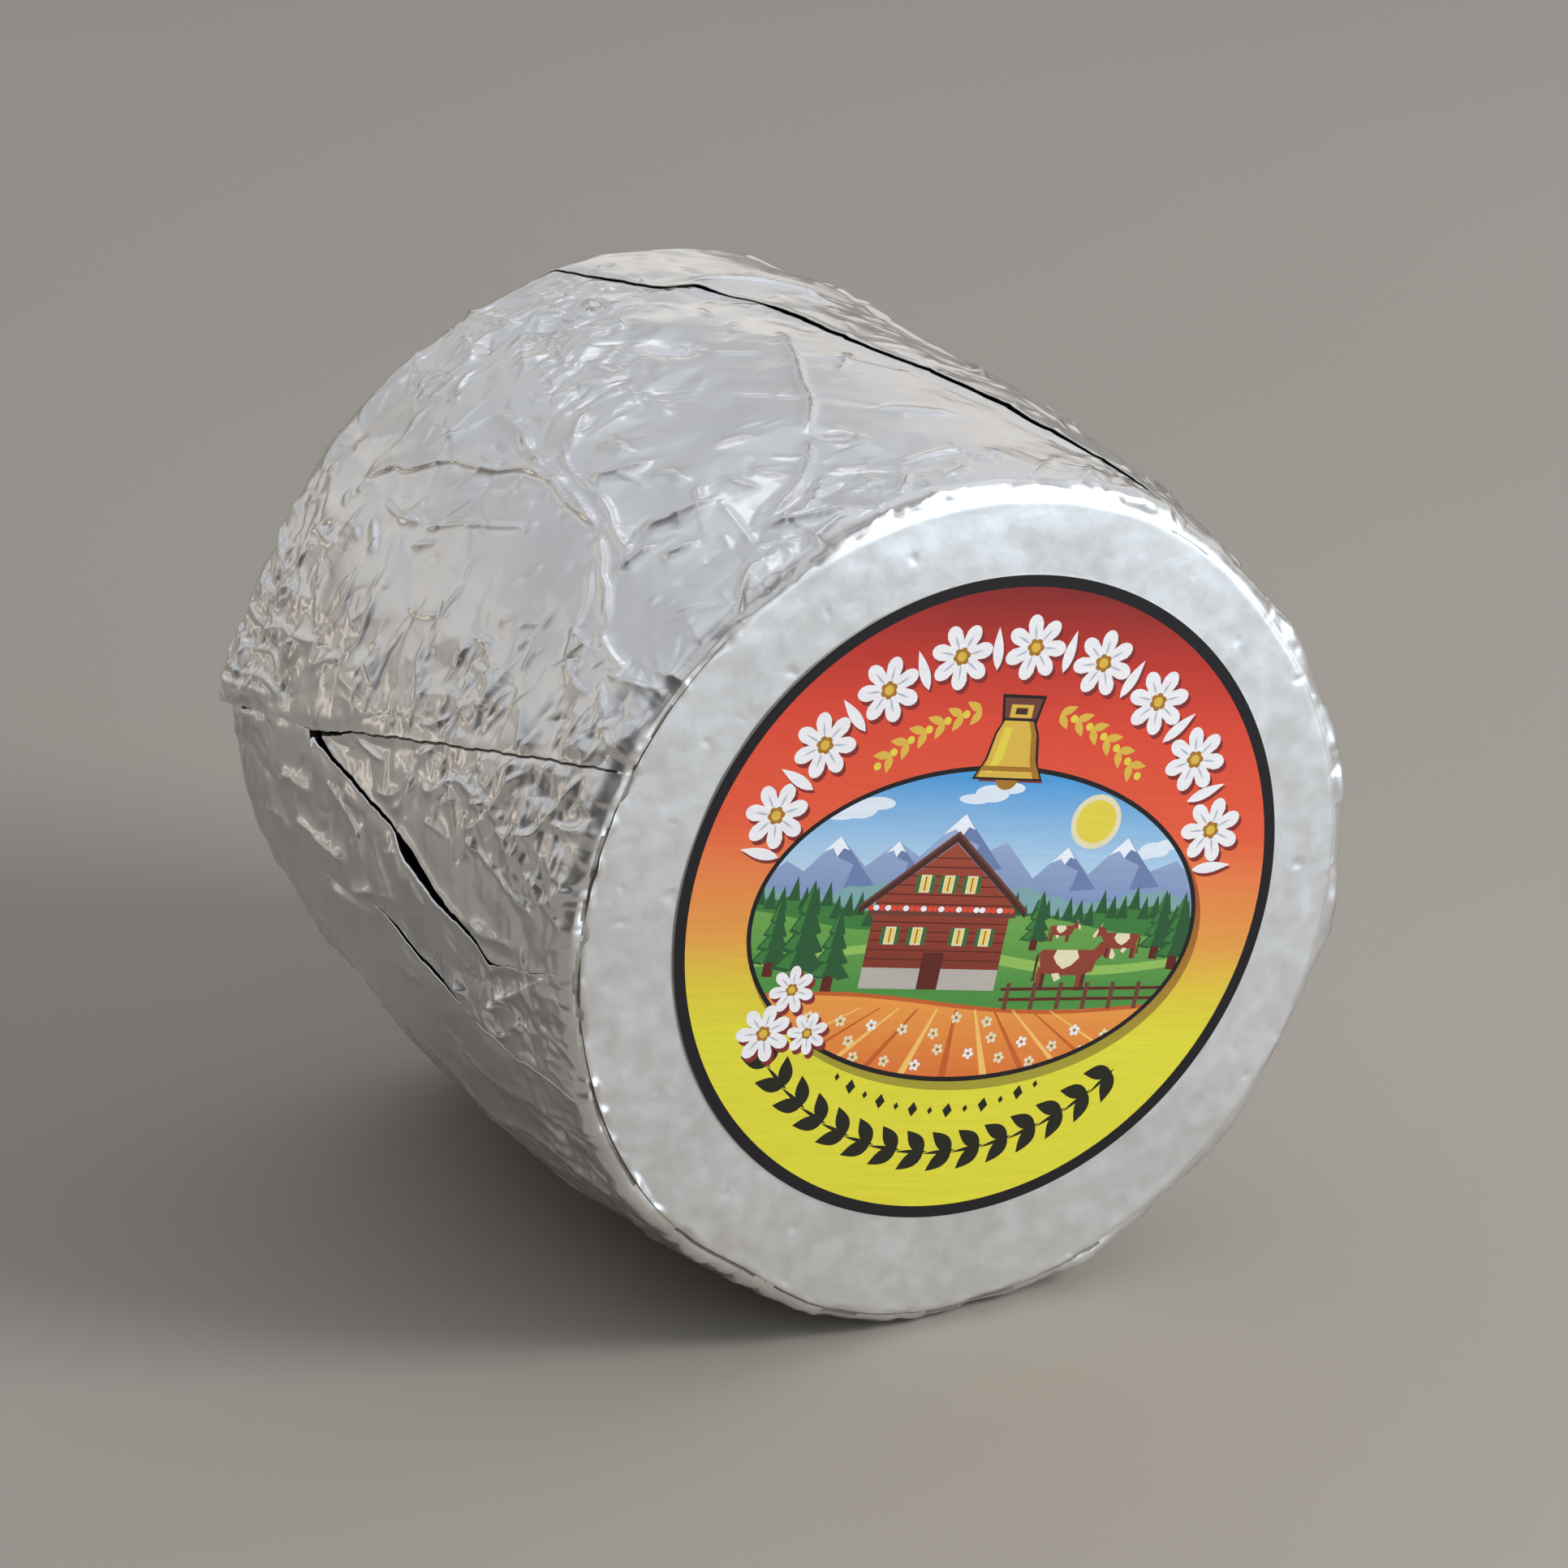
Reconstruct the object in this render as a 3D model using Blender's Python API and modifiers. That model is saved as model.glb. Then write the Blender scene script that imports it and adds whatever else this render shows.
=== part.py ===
"""A wheel of hard cheese in a closed foil wrap, lying on its round side, with a round paper label.

Metres, +Z up. The wheel's axis runs along Y and its labelled end faces -Y. The origin is on the
surface that the wheel lies on, under the middle of its bounding box.

Places on the side are given as a turn, in degrees from the top towards -X, and as a distance
back from the labelled end.
"""

from math import atan2, ceil, cos, degrees, exp, floor, hypot, pi, radians, sin, sqrt

import bmesh
import bpy
from mathutils import Matrix, Vector, noise

MM = 0.001

# Driving dimensions of the wheel
LENGTH = 96 * MM
END_RADIUS = 52.1 * MM
SIDE_BULGE = 2.0 * MM
FRONT_ROUNDING = 3 * MM
BACK_ROUNDING = 6 * MM
FLAT_SPOT_WIDTH = 22 * MM

# The paper label, set a little off the middle of the end
LABEL_RADIUS = 40 * MM
LABEL_THICKNESS = 0.3 * MM
LABEL_OFFSET_X = 1.4 * MM
LABEL_OFFSET_Z = 0.9 * MM
TOUCHING_GAP = 0.3 * MM

# How finely the wheel's surface is divided
AROUND = 114
SIDE_RINGS = 24
ROUNDING_RINGS = 2
BACK_RINGS = 5
LABEL_SIDES = 96
ROUTE_STEP = 4.2 * MM

MIDDLE_RADIUS = END_RADIUS + SIDE_BULGE
FOLD_DEPTH = 3 * MM
SUNK_DEPTH = 0.5 * MM
LAYER_SHARES = [0, 0.12, 0.5, 1]

# Edges of the foil's overlapping layers: (turn, mm back from the label), smooth through these points.
# At each edge the layer on the side of the lower turn lies on top.
FAR_EDGE = [(-23, 2), (-28, 8), (-26, 19), (-20, 29), (-15, 39), (-11, 49), (-9, 60), (-2, 72), (4, 80), (8, 92)]
UPPER_EDGE = [(60, 1), (65, 17), (70, 33), (75, 48), (80, 62), (83, 76), (85, 93)]
TUCK_EDGE = [(81, 64), (83, 54), (86, 40), (88, 32), (90, 23), (92, 17), (88, 2)]
LOWER_EDGE = [(96, 52), (99, 41), (101, 31), (104, 21), (105, 11), (105, 1)]
UNDER_EDGE = [(150, 92), (153, 74), (149, 55), (151, 36), (147, 18), (148, 2)]
RIGHT_EDGE = [(-112, 94), (-107, 76), (-108, 60), (-102, 42), (-100, 24), (-95, 3)]
# (edge, width of the layer that shows as raised, height of its edge)
LAYERS = {
    "far_layer": (FAR_EDGE, 26 * MM, 0.9 * MM),
    "upper_layer": (UPPER_EDGE, 22 * MM, 0.9 * MM),
    "tuck_layer": (TUCK_EDGE, 16 * MM, 1.0 * MM),
    "lower_layer": (LOWER_EDGE, 14 * MM, 0.8 * MM),
    "under_layer": (UNDER_EDGE, 22 * MM, 0.7 * MM),
    "right_layer": (RIGHT_EDGE, 22 * MM, 0.9 * MM),
}

# Stretches where the foil's edge stands open, as a dark slit: (edge, first and last mm back, slit width)
SLITS = {
    "far_slit": (FAR_EDGE, 12, 88, 1.1 * MM),
    "tuck_slit": (TUCK_EDGE, 19, 62, 0.9 * MM),
    "lower_slit": (LOWER_EDGE, 24, 46, 0.6 * MM),
    "right_slit": (RIGHT_EDGE, 20, 70, 0.8 * MM),
}
SLIT_DEPTH = 1.2 * MM
SLIT_TOP = 2.5 * MM

# Ridges pressed into the foil: (height, half width, places as above)
RIDGES = [
    (0.8, 2.4, [(42, 69), (34, 65), (32, 60), (34, 48), (36, 33), (41, 25), (46, 17)]),
    (0.7, 2.4, [(49, 79), (45, 70), (40, 61), (36, 50), (36, 40), (38, 30)]),
    (0.6, 2.2, [(47, 17), (49, 10), (48, 2)]),
    (0.6, 2.2, [(40, 27), (48, 21), (53, 17), (54, 10)]),
    (0.6, 2.2, [(51, 72), (50, 60), (44, 46), (41, 40)]),
    (0.5, 2.2, [(52, 46), (60, 46), (66, 43)]),
    (0.5, 2.2, [(60, 80), (66, 74), (71, 65), (66, 60), (60, 61)]),
    (0.6, 2.2, [(-7, 60), (-2, 50), (3, 37), (9, 23), (17, 14), (24, 10)]),
    (0.5, 2.2, [(13, 3), (20, 7), (25, 11), (26, 22)]),
    (0.7, 2.6, [(18, 95), (22, 88), (20, 78), (13, 70)]),
    (0.7, 2.6, [(30, 80), (34, 90)]),
    (0.6, 2.2, [(72, 90), (76, 80), (74, 70)]),
    (0.5, 2.2, [(72, 36), (80, 42), (82, 47)]),
    (0.6, 2.4, [(92, 90), (94, 72), (93, 56)]),
    (0.5, 2.2, [(110, 84), (113, 62), (108, 46)]),
    (0.6, 2.4, [(128, 88), (124, 66), (127, 44), (121, 20)]),
    (0.6, 2.4, [(-50, 88), (-54, 66), (-47, 48), (-51, 22)]),
    (0.7, 2.4, [(-72, 82), (-66, 60), (-74, 40), (-68, 18)]),
    (0.6, 2.4, [(-126, 84), (-131, 60), (-124, 34)]),
    (0.6, 2.4, [(-145, 70), (-150, 46), (-143, 20)]),
]

# Gentle swellings and dents of the whole wheel: (turn, mm back, reach in mm, height in mm)
SWELLINGS = [
    (178, 2, 16, 1.0), (160, 2, 14, 0.6), (144, 3, 9, -1.1), (134, 28, 14, 0.4),
    (126, 84, 15, -1.3), (113, 91, 10, -0.4), (89, 93, 7, 0.5), (82, 95, 6, 1.2),
    (58, 93, 14, -0.8), (42, 93, 12, -0.3), (-12, 92, 15, 0.9), (-30, 88, 12, 0.4),
    (-32, 62, 12, -0.8), (-38, 32, 16, 0.2), (-52, 3, 14, -0.8), (-70, 3, 16, -0.6),
    (-102, 2, 14, -0.4), (-152, 2, 20, 0.4),
]

PUCKER_SIZE = 9 * MM
PUCKER_HEIGHT = 0.35 * MM
BACK_PLEATS = 17
PLEAT_HEIGHT = 0.9 * MM


def side_radius(back):
    """The smooth wheel's radius, with its swollen side and rounded rims."""
    across = 2 * back / LENGTH - 1
    radius = END_RADIUS + SIDE_BULGE * (1 - across * across)
    for rounding, inset in ((FRONT_ROUNDING, back), (BACK_ROUNDING, LENGTH - back)):
        short = min(max(rounding - inset, 0), rounding)
        radius -= rounding - sqrt(rounding * rounding - short * short)
    return radius


def side_point(turn, back, lift=0.0):
    """The point that far round and back on the wheel's side, lifted off the smooth surface."""
    reach = side_radius(back) + lift
    return Vector((-reach * sin(radians(turn)), back - LENGTH / 2, reach * cos(radians(turn))))


def unrolled(turn, back):
    return Vector((radians(turn) * MIDDLE_RADIUS, back))


def ease(value):
    """A smooth step from 0 to 1."""
    value = min(max(value, 0), 1)
    return value * value * (3 - 2 * value)


def smooth_route(points, step=ROUTE_STEP):
    """A smooth curve through (turn, mm back) points, as (turn, back) a step apart."""
    places = [Vector((turn, back * MM)) for turn, back in points]
    places = [2 * places[0] - places[1], *places, 2 * places[-1] - places[-2]]
    route = []
    for before, start, end, after in zip(places, places[1:], places[2:], places[3:]):
        pieces = ceil((unrolled(*end) - unrolled(*start)).length / step)
        for number in range(pieces):
            t = number / pieces
            route.append(
                0.5 * (2 * start + (end - before) * t + (2 * before - 5 * start + 4 * end - after) * t * t
                       + (3 * start - before - 3 * end + after) * t ** 3)
            )
    return [tuple(place) for place in [*route, places[-2]]]


def distance_to_route(place, route):
    """How far an unrolled place lies from a route of unrolled places."""
    nearest = 1.0
    for start, end in zip(route, route[1:]):
        along = end - start
        t = min(max((place - start).dot(along) / along.length_squared, 0), 1)
        nearest = min(nearest, (start + along * t - place).length)
    return nearest


def ridge_routes():
    """Each ridge as its height, half width and unrolled route."""
    return [
        (height * MM, half_width * MM, [unrolled(*place) for place in smooth_route(points)])
        for height, half_width, points in RIDGES
    ]


def side_relief(turn, back, routes):
    """How far the crumpled foil stands off the smooth side."""
    place = unrolled(turn, back)
    angle = radians(turn)
    drum = Vector((sin(angle) * MIDDLE_RADIUS, cos(angle) * MIDDLE_RADIUS, back)) / PUCKER_SIZE
    lift = PUCKER_HEIGHT * (noise.noise(drum) + 0.5 * noise.noise(drum * 2.3))
    for height, half_width, route in routes:
        away = distance_to_route(place, route) / half_width
        lift += height * exp(-away * away)
    rims = ease(back / (6 * MM)) * ease((LENGTH - back) / (4 * MM))
    return lift * rims + swelling(turn, back)


def swelling(turn, back):
    """The gentle departures of the whole wheel from a true barrel."""
    lift = 0.0
    for middle_turn, middle_back, reach, height in SWELLINGS:
        round_way = (turn - middle_turn + 180) % 360 - 180
        away = unrolled(round_way, back - middle_back * MM).length / (reach * MM)
        lift += height * MM * exp(-away * away)
    return lift


def back_relief(turn, distance):
    """How far the pleats gathered on the plain end stand off it, at this distance from the axis."""
    swirl = turn + 26 * (1 - distance / END_RADIUS) + 9 * sin(radians(turn * 3))
    share = (swirl / 360 * BACK_PLEATS) % 1
    size = 0.65 + 0.35 * sin(floor(swirl / 360 * BACK_PLEATS) * 2.4)
    step = (1 - share) * size * ease((distance - 5 * MM) / (18 * MM))
    hollow = 0.6 * MM * (1 - ease(distance / (0.8 * END_RADIUS)))
    return PLEAT_HEIGHT * step - hollow


def profile_points():
    """Half the wheel's outline as (distance from the axis, back), from the label's end to the other."""
    points = [(0, 0), (0.8 * END_RADIUS, 0), (END_RADIUS - FRONT_ROUNDING, 0)]
    arc = [1 - cos(pi / 2 * number / (ROUNDING_RINGS + 1)) for number in range(1, ROUNDING_RINGS + 1)]
    backs = [FRONT_ROUNDING * share for share in arc]
    run = LENGTH - FRONT_ROUNDING - BACK_ROUNDING
    backs += [FRONT_ROUNDING + run * number / SIDE_RINGS for number in range(SIDE_RINGS + 1)]
    backs += [LENGTH - BACK_ROUNDING * share for share in reversed(arc)]
    points += [(side_radius(back), back) for back in backs]
    flat = END_RADIUS - BACK_ROUNDING
    points += [(flat * (1 - number / BACK_RINGS), LENGTH) for number in range(BACK_RINGS + 1)]
    return points


def new_object(name, mesh, collection):
    obj = bpy.data.objects.new(name, mesh)
    collection.objects.link(obj)
    return obj


def evaluated_mesh(obj):
    """The object's mesh with its modifiers applied."""
    graph = bpy.context.evaluated_depsgraph_get()
    return bpy.data.meshes.new_from_object(obj.evaluated_get(graph))


def smooth_wheel(collection):
    """The barrel shape, turned about Z from half its outline and laid along Y."""
    points = profile_points()
    mesh = bpy.data.meshes.new("foil_wrapped_cheese")
    corners = [(distance, 0, LENGTH / 2 - back) for distance, back in points]
    mesh.from_pydata(corners, [(number, number + 1) for number in range(len(points) - 1)], [])
    wheel = new_object("foil_wrapped_cheese", mesh, collection)
    screw = wheel.modifiers.new("turned", "SCREW")
    screw.steps = screw.render_steps = AROUND
    screw.use_merge_vertices = True
    screw.merge_threshold = 0.00001
    wheel.data = evaluated_mesh(wheel)
    wheel.modifiers.clear()
    wheel.data.transform(Matrix.Rotation(pi / 2, 4, "X"))
    return wheel


def crumple(wheel):
    """Moves the smooth wheel's points out to the folds of the foil."""
    routes = ridge_routes()
    form = bmesh.new()
    form.from_mesh(wheel.data)
    bmesh.ops.remove_doubles(form, verts=form.verts, dist=0.00001)
    for point in form.verts:
        x, y, z = point.co
        distance = hypot(x, z)
        back = y + LENGTH / 2
        turn = degrees(atan2(-x, z))
        if back > LENGTH - 0.01 * MM:
            point.co.y += back_relief(turn, distance)
        elif back > 0.01 * MM:
            scale = 1 + side_relief(turn, back, routes) / distance
            point.co.x *= scale
            point.co.z *= scale
        elif distance > 0.9 * END_RADIUS:
            scale = 1 + swelling(turn, 0) / distance
            point.co.x *= scale
            point.co.z *= scale
    bmesh.ops.triangulate(form, faces=form.faces)
    bmesh.ops.recalc_face_normals(form, faces=form.faces)
    form.to_mesh(wheel.data)
    form.free()


def strip(name, route, shares, place_of, thickness, collection):
    """A closed strip along a route on the side, thickened inwards.

    place_of gives the distance off the route and the height, from how far along the route a
    point is (0 to 1), how far back, and its share of the strip's width.
    """
    rows, columns = len(route) - 1, len(shares) - 1
    form = bmesh.new()
    bmesh.ops.create_grid(form, x_segments=rows, y_segments=columns, size=0.5)
    for point in form.verts:
        number = round((point.co.x + 0.5) * rows)
        turn, back = route[number]
        off, lift = place_of(number / rows, back, shares[round((point.co.y + 0.5) * columns)])
        turn += degrees(off / MIDDLE_RADIUS)
        point.co = side_point(turn, back, lift + swelling(turn, back))
    face = next(iter(form.faces))
    face.normal_update()
    outwards = face.calc_center_median() * Vector((1, 0, 1))
    if face.normal.dot(outwards) < 0:
        bmesh.ops.reverse_faces(form, faces=form.faces)
    mesh = bpy.data.meshes.new(name)
    form.to_mesh(mesh)
    form.free()
    obj = new_object(name, mesh, collection)
    thick = obj.modifiers.new("thickness", "SOLIDIFY")
    thick.thickness = thickness
    thick.offset = -1
    obj.hide_render = True
    obj.display_type = "WIRE"
    return obj


def layer(name, edge, width, height, collection):
    """One overlapping layer of foil, raised along its edge and sinking away from it."""

    def place_of(_along, back, share):
        flattened = 0.25 + 0.75 * ease(back / (9 * MM))
        return -width * share, height * (1 - share) * flattened - SUNK_DEPTH * share ** 0.7

    return strip(name, smooth_route(edge), LAYER_SHARES, place_of, FOLD_DEPTH, collection)


def slit(name, edge, first, last, width, collection):
    """The gap that stands open beside an edge, widest at its middle."""
    route = [place for place in smooth_route(edge) if first * MM < place[1] < last * MM]

    def place_of(along, _back, share):
        return (share - 0.35) * width * (0.3 + sin(pi * along)), SLIT_TOP

    return strip(name, route, [0, 1], place_of, SLIT_TOP + SLIT_DEPTH, collection)


def boolean(wheel, tool, operation):
    step = wheel.modifiers.new(tool.name, "BOOLEAN")
    step.operation = operation
    step.solver = "EXACT"
    step.object = tool


def floor_cutter(collection):
    """The block that levels the underside where the wheel rests."""
    half = FLAT_SPOT_WIDTH / 2
    depth = MIDDLE_RADIUS - sqrt(MIDDLE_RADIUS ** 2 - half ** 2)
    size = 2 * LENGTH
    form = bmesh.new()
    bmesh.ops.create_cube(form, size=size)
    mesh = bpy.data.meshes.new("floor_cutter")
    form.to_mesh(mesh)
    form.free()
    cutter = new_object("floor_cutter", mesh, collection)
    cutter.location.z = depth - MIDDLE_RADIUS - size / 2
    cutter.hide_render = True
    cutter.display_type = "WIRE"
    return cutter


def paper_label(collection):
    """The round label, a thin disc in front of the wheel's end."""
    form = bmesh.new()
    bmesh.ops.create_cone(
        form, cap_ends=True, segments=LABEL_SIDES, radius1=LABEL_RADIUS, radius2=LABEL_RADIUS,
        depth=LABEL_THICKNESS,
    )
    bmesh.ops.rotate(form, verts=form.verts, matrix=Matrix.Rotation(pi / 2, 3, "X"))
    mesh = bpy.data.meshes.new("paper_label")
    form.to_mesh(mesh)
    form.free()
    label = new_object("paper_label", mesh, collection)
    front = -LENGTH / 2 - TOUCHING_GAP - LABEL_THICKNESS / 2
    label.location = (LABEL_OFFSET_X, front, LABEL_OFFSET_Z)
    return label


def give_material(obj, colour, roughness, metallic):
    material = bpy.data.materials.new(obj.name)
    material.use_nodes = True
    shader = material.node_tree.nodes["Principled BSDF"]
    shader.inputs["Base Color"].default_value = (*colour, 1)
    shader.inputs["Roughness"].default_value = roughness
    shader.inputs["Metallic"].default_value = metallic
    obj.data.materials.clear()
    obj.data.materials.append(material)


def stand_on_origin(pieces, stand):
    """Puts the origin on the ground under the middle of the pieces' bounding box."""
    bpy.context.view_layer.update()
    graph = bpy.context.evaluated_depsgraph_get()
    corners = []
    for piece in pieces:
        solid = piece.evaluated_get(graph)
        corners += [solid.matrix_world @ point.co for point in solid.data.vertices]
    low = [min(corner[axis] for corner in corners) for axis in range(3)]
    high = [max(corner[axis] for corner in corners) for axis in range(3)]
    stand.location = (-(low[0] + high[0]) / 2, -(low[1] + high[1]) / 2, -low[2])


def main():
    for obj in list(bpy.data.objects):
        bpy.data.objects.remove(obj, do_unlink=True)
    parts = bpy.data.collections.new("wrapped_cheese_wheel")
    helpers = bpy.data.collections.new("joined_and_cut")
    for collection in (parts, helpers):
        bpy.context.scene.collection.children.link(collection)

    wheel = smooth_wheel(parts)
    crumple(wheel)
    tools = []
    for name, (edge, width, height) in LAYERS.items():
        tools.append(layer(name, edge, width, height, helpers))
        boolean(wheel, tools[-1], "UNION")
    for name, (edge, first, last, width) in SLITS.items():
        tools.append(slit(name, edge, first, last, width, helpers))
        boolean(wheel, tools[-1], "DIFFERENCE")
    tools.append(floor_cutter(helpers))
    boolean(wheel, tools[-1], "DIFFERENCE")
    label = paper_label(parts)

    give_material(wheel, (0.62, 0.62, 0.61), 0.32, 1.0)
    give_material(label, (0.66, 0.16, 0.05), 0.45, 0.0)
    for obj in (wheel, label):
        obj.data.shade_smooth()
        obj.data.set_sharp_from_angle(angle=radians(40))

    stand = bpy.data.objects.new("stand", None)
    parts.objects.link(stand)
    for obj in (wheel, label, *tools):
        obj.parent = stand
    stand_on_origin([wheel, label], stand)


main()
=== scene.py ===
"""A foil-wrapped cheese wheel lying on its round side: crumpled foil sheets and a printed paper label.

Sizes are in millimetres unless a name says otherwise. Places on the foil are given as a turn, in
degrees from the top towards -X, and a station: the distance back from the labelled end, measured
along the smooth wheel's outline. On the straight side it is the plain distance back. It goes on
over the rims to the middle of each end.
"""

from math import atan2, cos, degrees, pi, radians, sin

import bmesh
import bpy
import numpy as np
from mathutils import Matrix, Vector
from mathutils.geometry import delaunay_2d_cdt


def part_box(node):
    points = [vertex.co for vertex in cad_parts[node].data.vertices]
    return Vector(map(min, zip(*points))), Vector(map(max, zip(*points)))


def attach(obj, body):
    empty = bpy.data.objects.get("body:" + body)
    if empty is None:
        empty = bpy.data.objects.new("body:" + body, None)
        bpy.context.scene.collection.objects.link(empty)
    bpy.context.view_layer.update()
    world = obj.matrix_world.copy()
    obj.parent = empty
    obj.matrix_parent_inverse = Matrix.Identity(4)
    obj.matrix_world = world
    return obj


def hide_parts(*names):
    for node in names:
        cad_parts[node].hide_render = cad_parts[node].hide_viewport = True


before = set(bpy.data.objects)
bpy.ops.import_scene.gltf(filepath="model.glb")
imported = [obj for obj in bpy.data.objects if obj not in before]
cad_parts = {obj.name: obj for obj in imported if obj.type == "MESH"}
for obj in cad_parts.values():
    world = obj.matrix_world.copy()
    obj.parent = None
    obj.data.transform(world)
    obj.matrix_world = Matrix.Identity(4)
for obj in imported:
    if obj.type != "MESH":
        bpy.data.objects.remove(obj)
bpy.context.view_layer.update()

MM = 0.001

# The wheel's driving sizes, as in the solids, but with a tighter front rim
LENGTH = 96.0
END_RADIUS = 52.1
SIDE_BULGE = 2.0
FRONT_ROUNDING = 2.4
BACK_ROUNDING = 6.0
MIDDLE_RADIUS = END_RADIUS + SIDE_BULGE
LABEL_RADIUS = 40.0
LABEL_OFFSET = (1.4, 0.9)
LABEL_TURN = 13.0
# How far the printed label's face stands off the smooth end, and how thick its paper is
LABEL_STANDS = 0.3
PAPER_THICKNESS = 0.22
# The gap that the solids keep between the label and the foil
TOUCHING_GAP = 0.3

# The middle of the labelled end, in metres, from where the label lies in the frame
label_low, label_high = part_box("paper_label")
END_MIDDLE = np.array([
    (label_low.x + label_high.x) / 2 - LABEL_OFFSET[0] * MM,
    label_high.y + TOUCHING_GAP * MM,
    (label_low.z + label_high.z) / 2 - LABEL_OFFSET[1] * MM,
])

# The photograph's camera, in pixels, degrees and metres
IMAGE_SIDE = 1932
FOCAL_PIXELS = 9000
CAMERA_AZIMUTH = -27.72
CAMERA_ELEVATION = 22.91
CAMERA_DISTANCE = 0.8887
CAMERA_SLIDE = (0.0009, -0.0020)

# Gentle swellings and dents of the whole wheel: (turn, mm back, reach, height)
SWELLINGS = [
    (178, 2, 16, 1.0), (160, 2, 14, 0.6), (144, 3, 9, -1.1), (134, 28, 14, 0.4), (126, 84, 15, -1.3),
    (113, 91, 10, -0.4), (89, 93, 7, 0.5), (82, 95, 6, 1.2), (58, 93, 14, -0.8), (42, 93, 12, -0.3),
    (-12, 92, 15, 0.9), (-30, 88, 12, 0.4), (-32, 62, 12, -0.8), (-38, 32, 16, 0.2), (-52, 3, 14, -0.8),
    (-70, 3, 16, -0.6), (-102, 2, 14, -0.4), (-152, 2, 20, 0.4),
]

# The seams between the foil's overlapping sheets, as (turn, station), and how wide each stands open there
FAR_EDGE = [
    (-33, -2), (-32, 4), (-29.5, 10), (-27, 15), (-25, 18.5), (-23, 22), (-21, 28), (-18, 34), (-16, 39),
    (-12.5, 45), (-10.8, 50), (-10, 55), (-8.8, 60), (-7, 65), (-4.5, 68.5), (-2.6, 73.5), (1, 74.5),
    (3.2, 77), (5, 81), (7.5, 87), (9, 93), (10, 104),
]
UPPER_EDGE = [
    (59, -2), (60.3, 1.5), (63.2, 11), (66, 20), (68.8, 29), (71.5, 38), (74, 46), (76, 52.5), (78.6, 60),
    (80.6, 65.5), (81.6, 70), (83.5, 79), (85.5, 88), (87, 96), (88, 104),
]
TUCK_EDGE = [
    (87.5, -2), (88.5, 3), (89.7, 6), (91.5, 12), (93.2, 17.6), (92.6, 18.6), (91.6, 20), (90.9, 22.5),
    (90.2, 26.5), (89.2, 31), (87.9, 35), (86.4, 38.7), (85.1, 41), (84.2, 46), (83.4, 52), (82.6, 58),
    (81.8, 63), (81.2, 66.5),
]
BELOW_EDGE = TUCK_EDGE + UPPER_EDGE[10:]
LOWER_EDGE = [
    (106.5, -2), (106.2, 2), (105.5, 6), (105.3, 16), (104.3, 23), (103, 28), (101.2, 33), (100.2, 38),
    (99.5, 40), (98, 44.8), (98, 48), (99.5, 60), (102, 75), (104, 90), (105, 104),
]
UNDER_EDGE = [(148, -2), (147, 18), (151, 36), (149, 55), (153, 74), (150, 92), (149, 104)]
RIGHT_EDGE = [(265, -2), (260, 24), (258, 42), (252, 60), (253, 76), (248, 94), (247, 104)]
FAR_OPEN = [
    (6, 0), (9, 0.35), (12, 0.75), (15, 0.45), (20, 0.8), (27, 0.95), (31, 0.6), (38, 0.7), (46, 0.4),
    (50, 0.6), (57, 0.75), (61, 0.65), (65, 0.05), (69, 0.15), (72, 0.5), (75, 0.35), (78, 0.15),
    (81, 0.3), (84, 0.1),
]
UPPER_OPEN = [
    (-1, 0), (1, 0.15), (3, 0.03), (55, 0.03), (58, 0.15), (60, 0.4), (62, 0.4), (64, 0.7), (66, 0.9),
    (67, 0.1), (69, 0),
]
TUCK_OPEN = [
    (15, 0), (17, 0.1), (17.8, 0.6), (21, 0.65), (25, 1.1), (29, 1.7), (33, 2.1), (37, 2.4), (39.5, 1.6),
    (41.3, 0.45), (50, 0.4), (58, 0.45), (61, 0.6), (63, 1.5), (65.3, 2.4), (66.5, 1.2), (67.5, 0),
]
LOWER_OPEN = [(27, 0), (29, 0.1), (34, 0.14), (37, 0.02), (39.5, 0.1), (41, 0.2), (45, 0.2), (47.5, 0)]
UNDER_OPEN = [(0, 0.05), (30, 0.1), (60, 0.2), (84, 0)]
RIGHT_OPEN = [(0, 0.05), (20, 0.3), (45, 0.6), (70, 0.35), (92, 0)]

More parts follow.
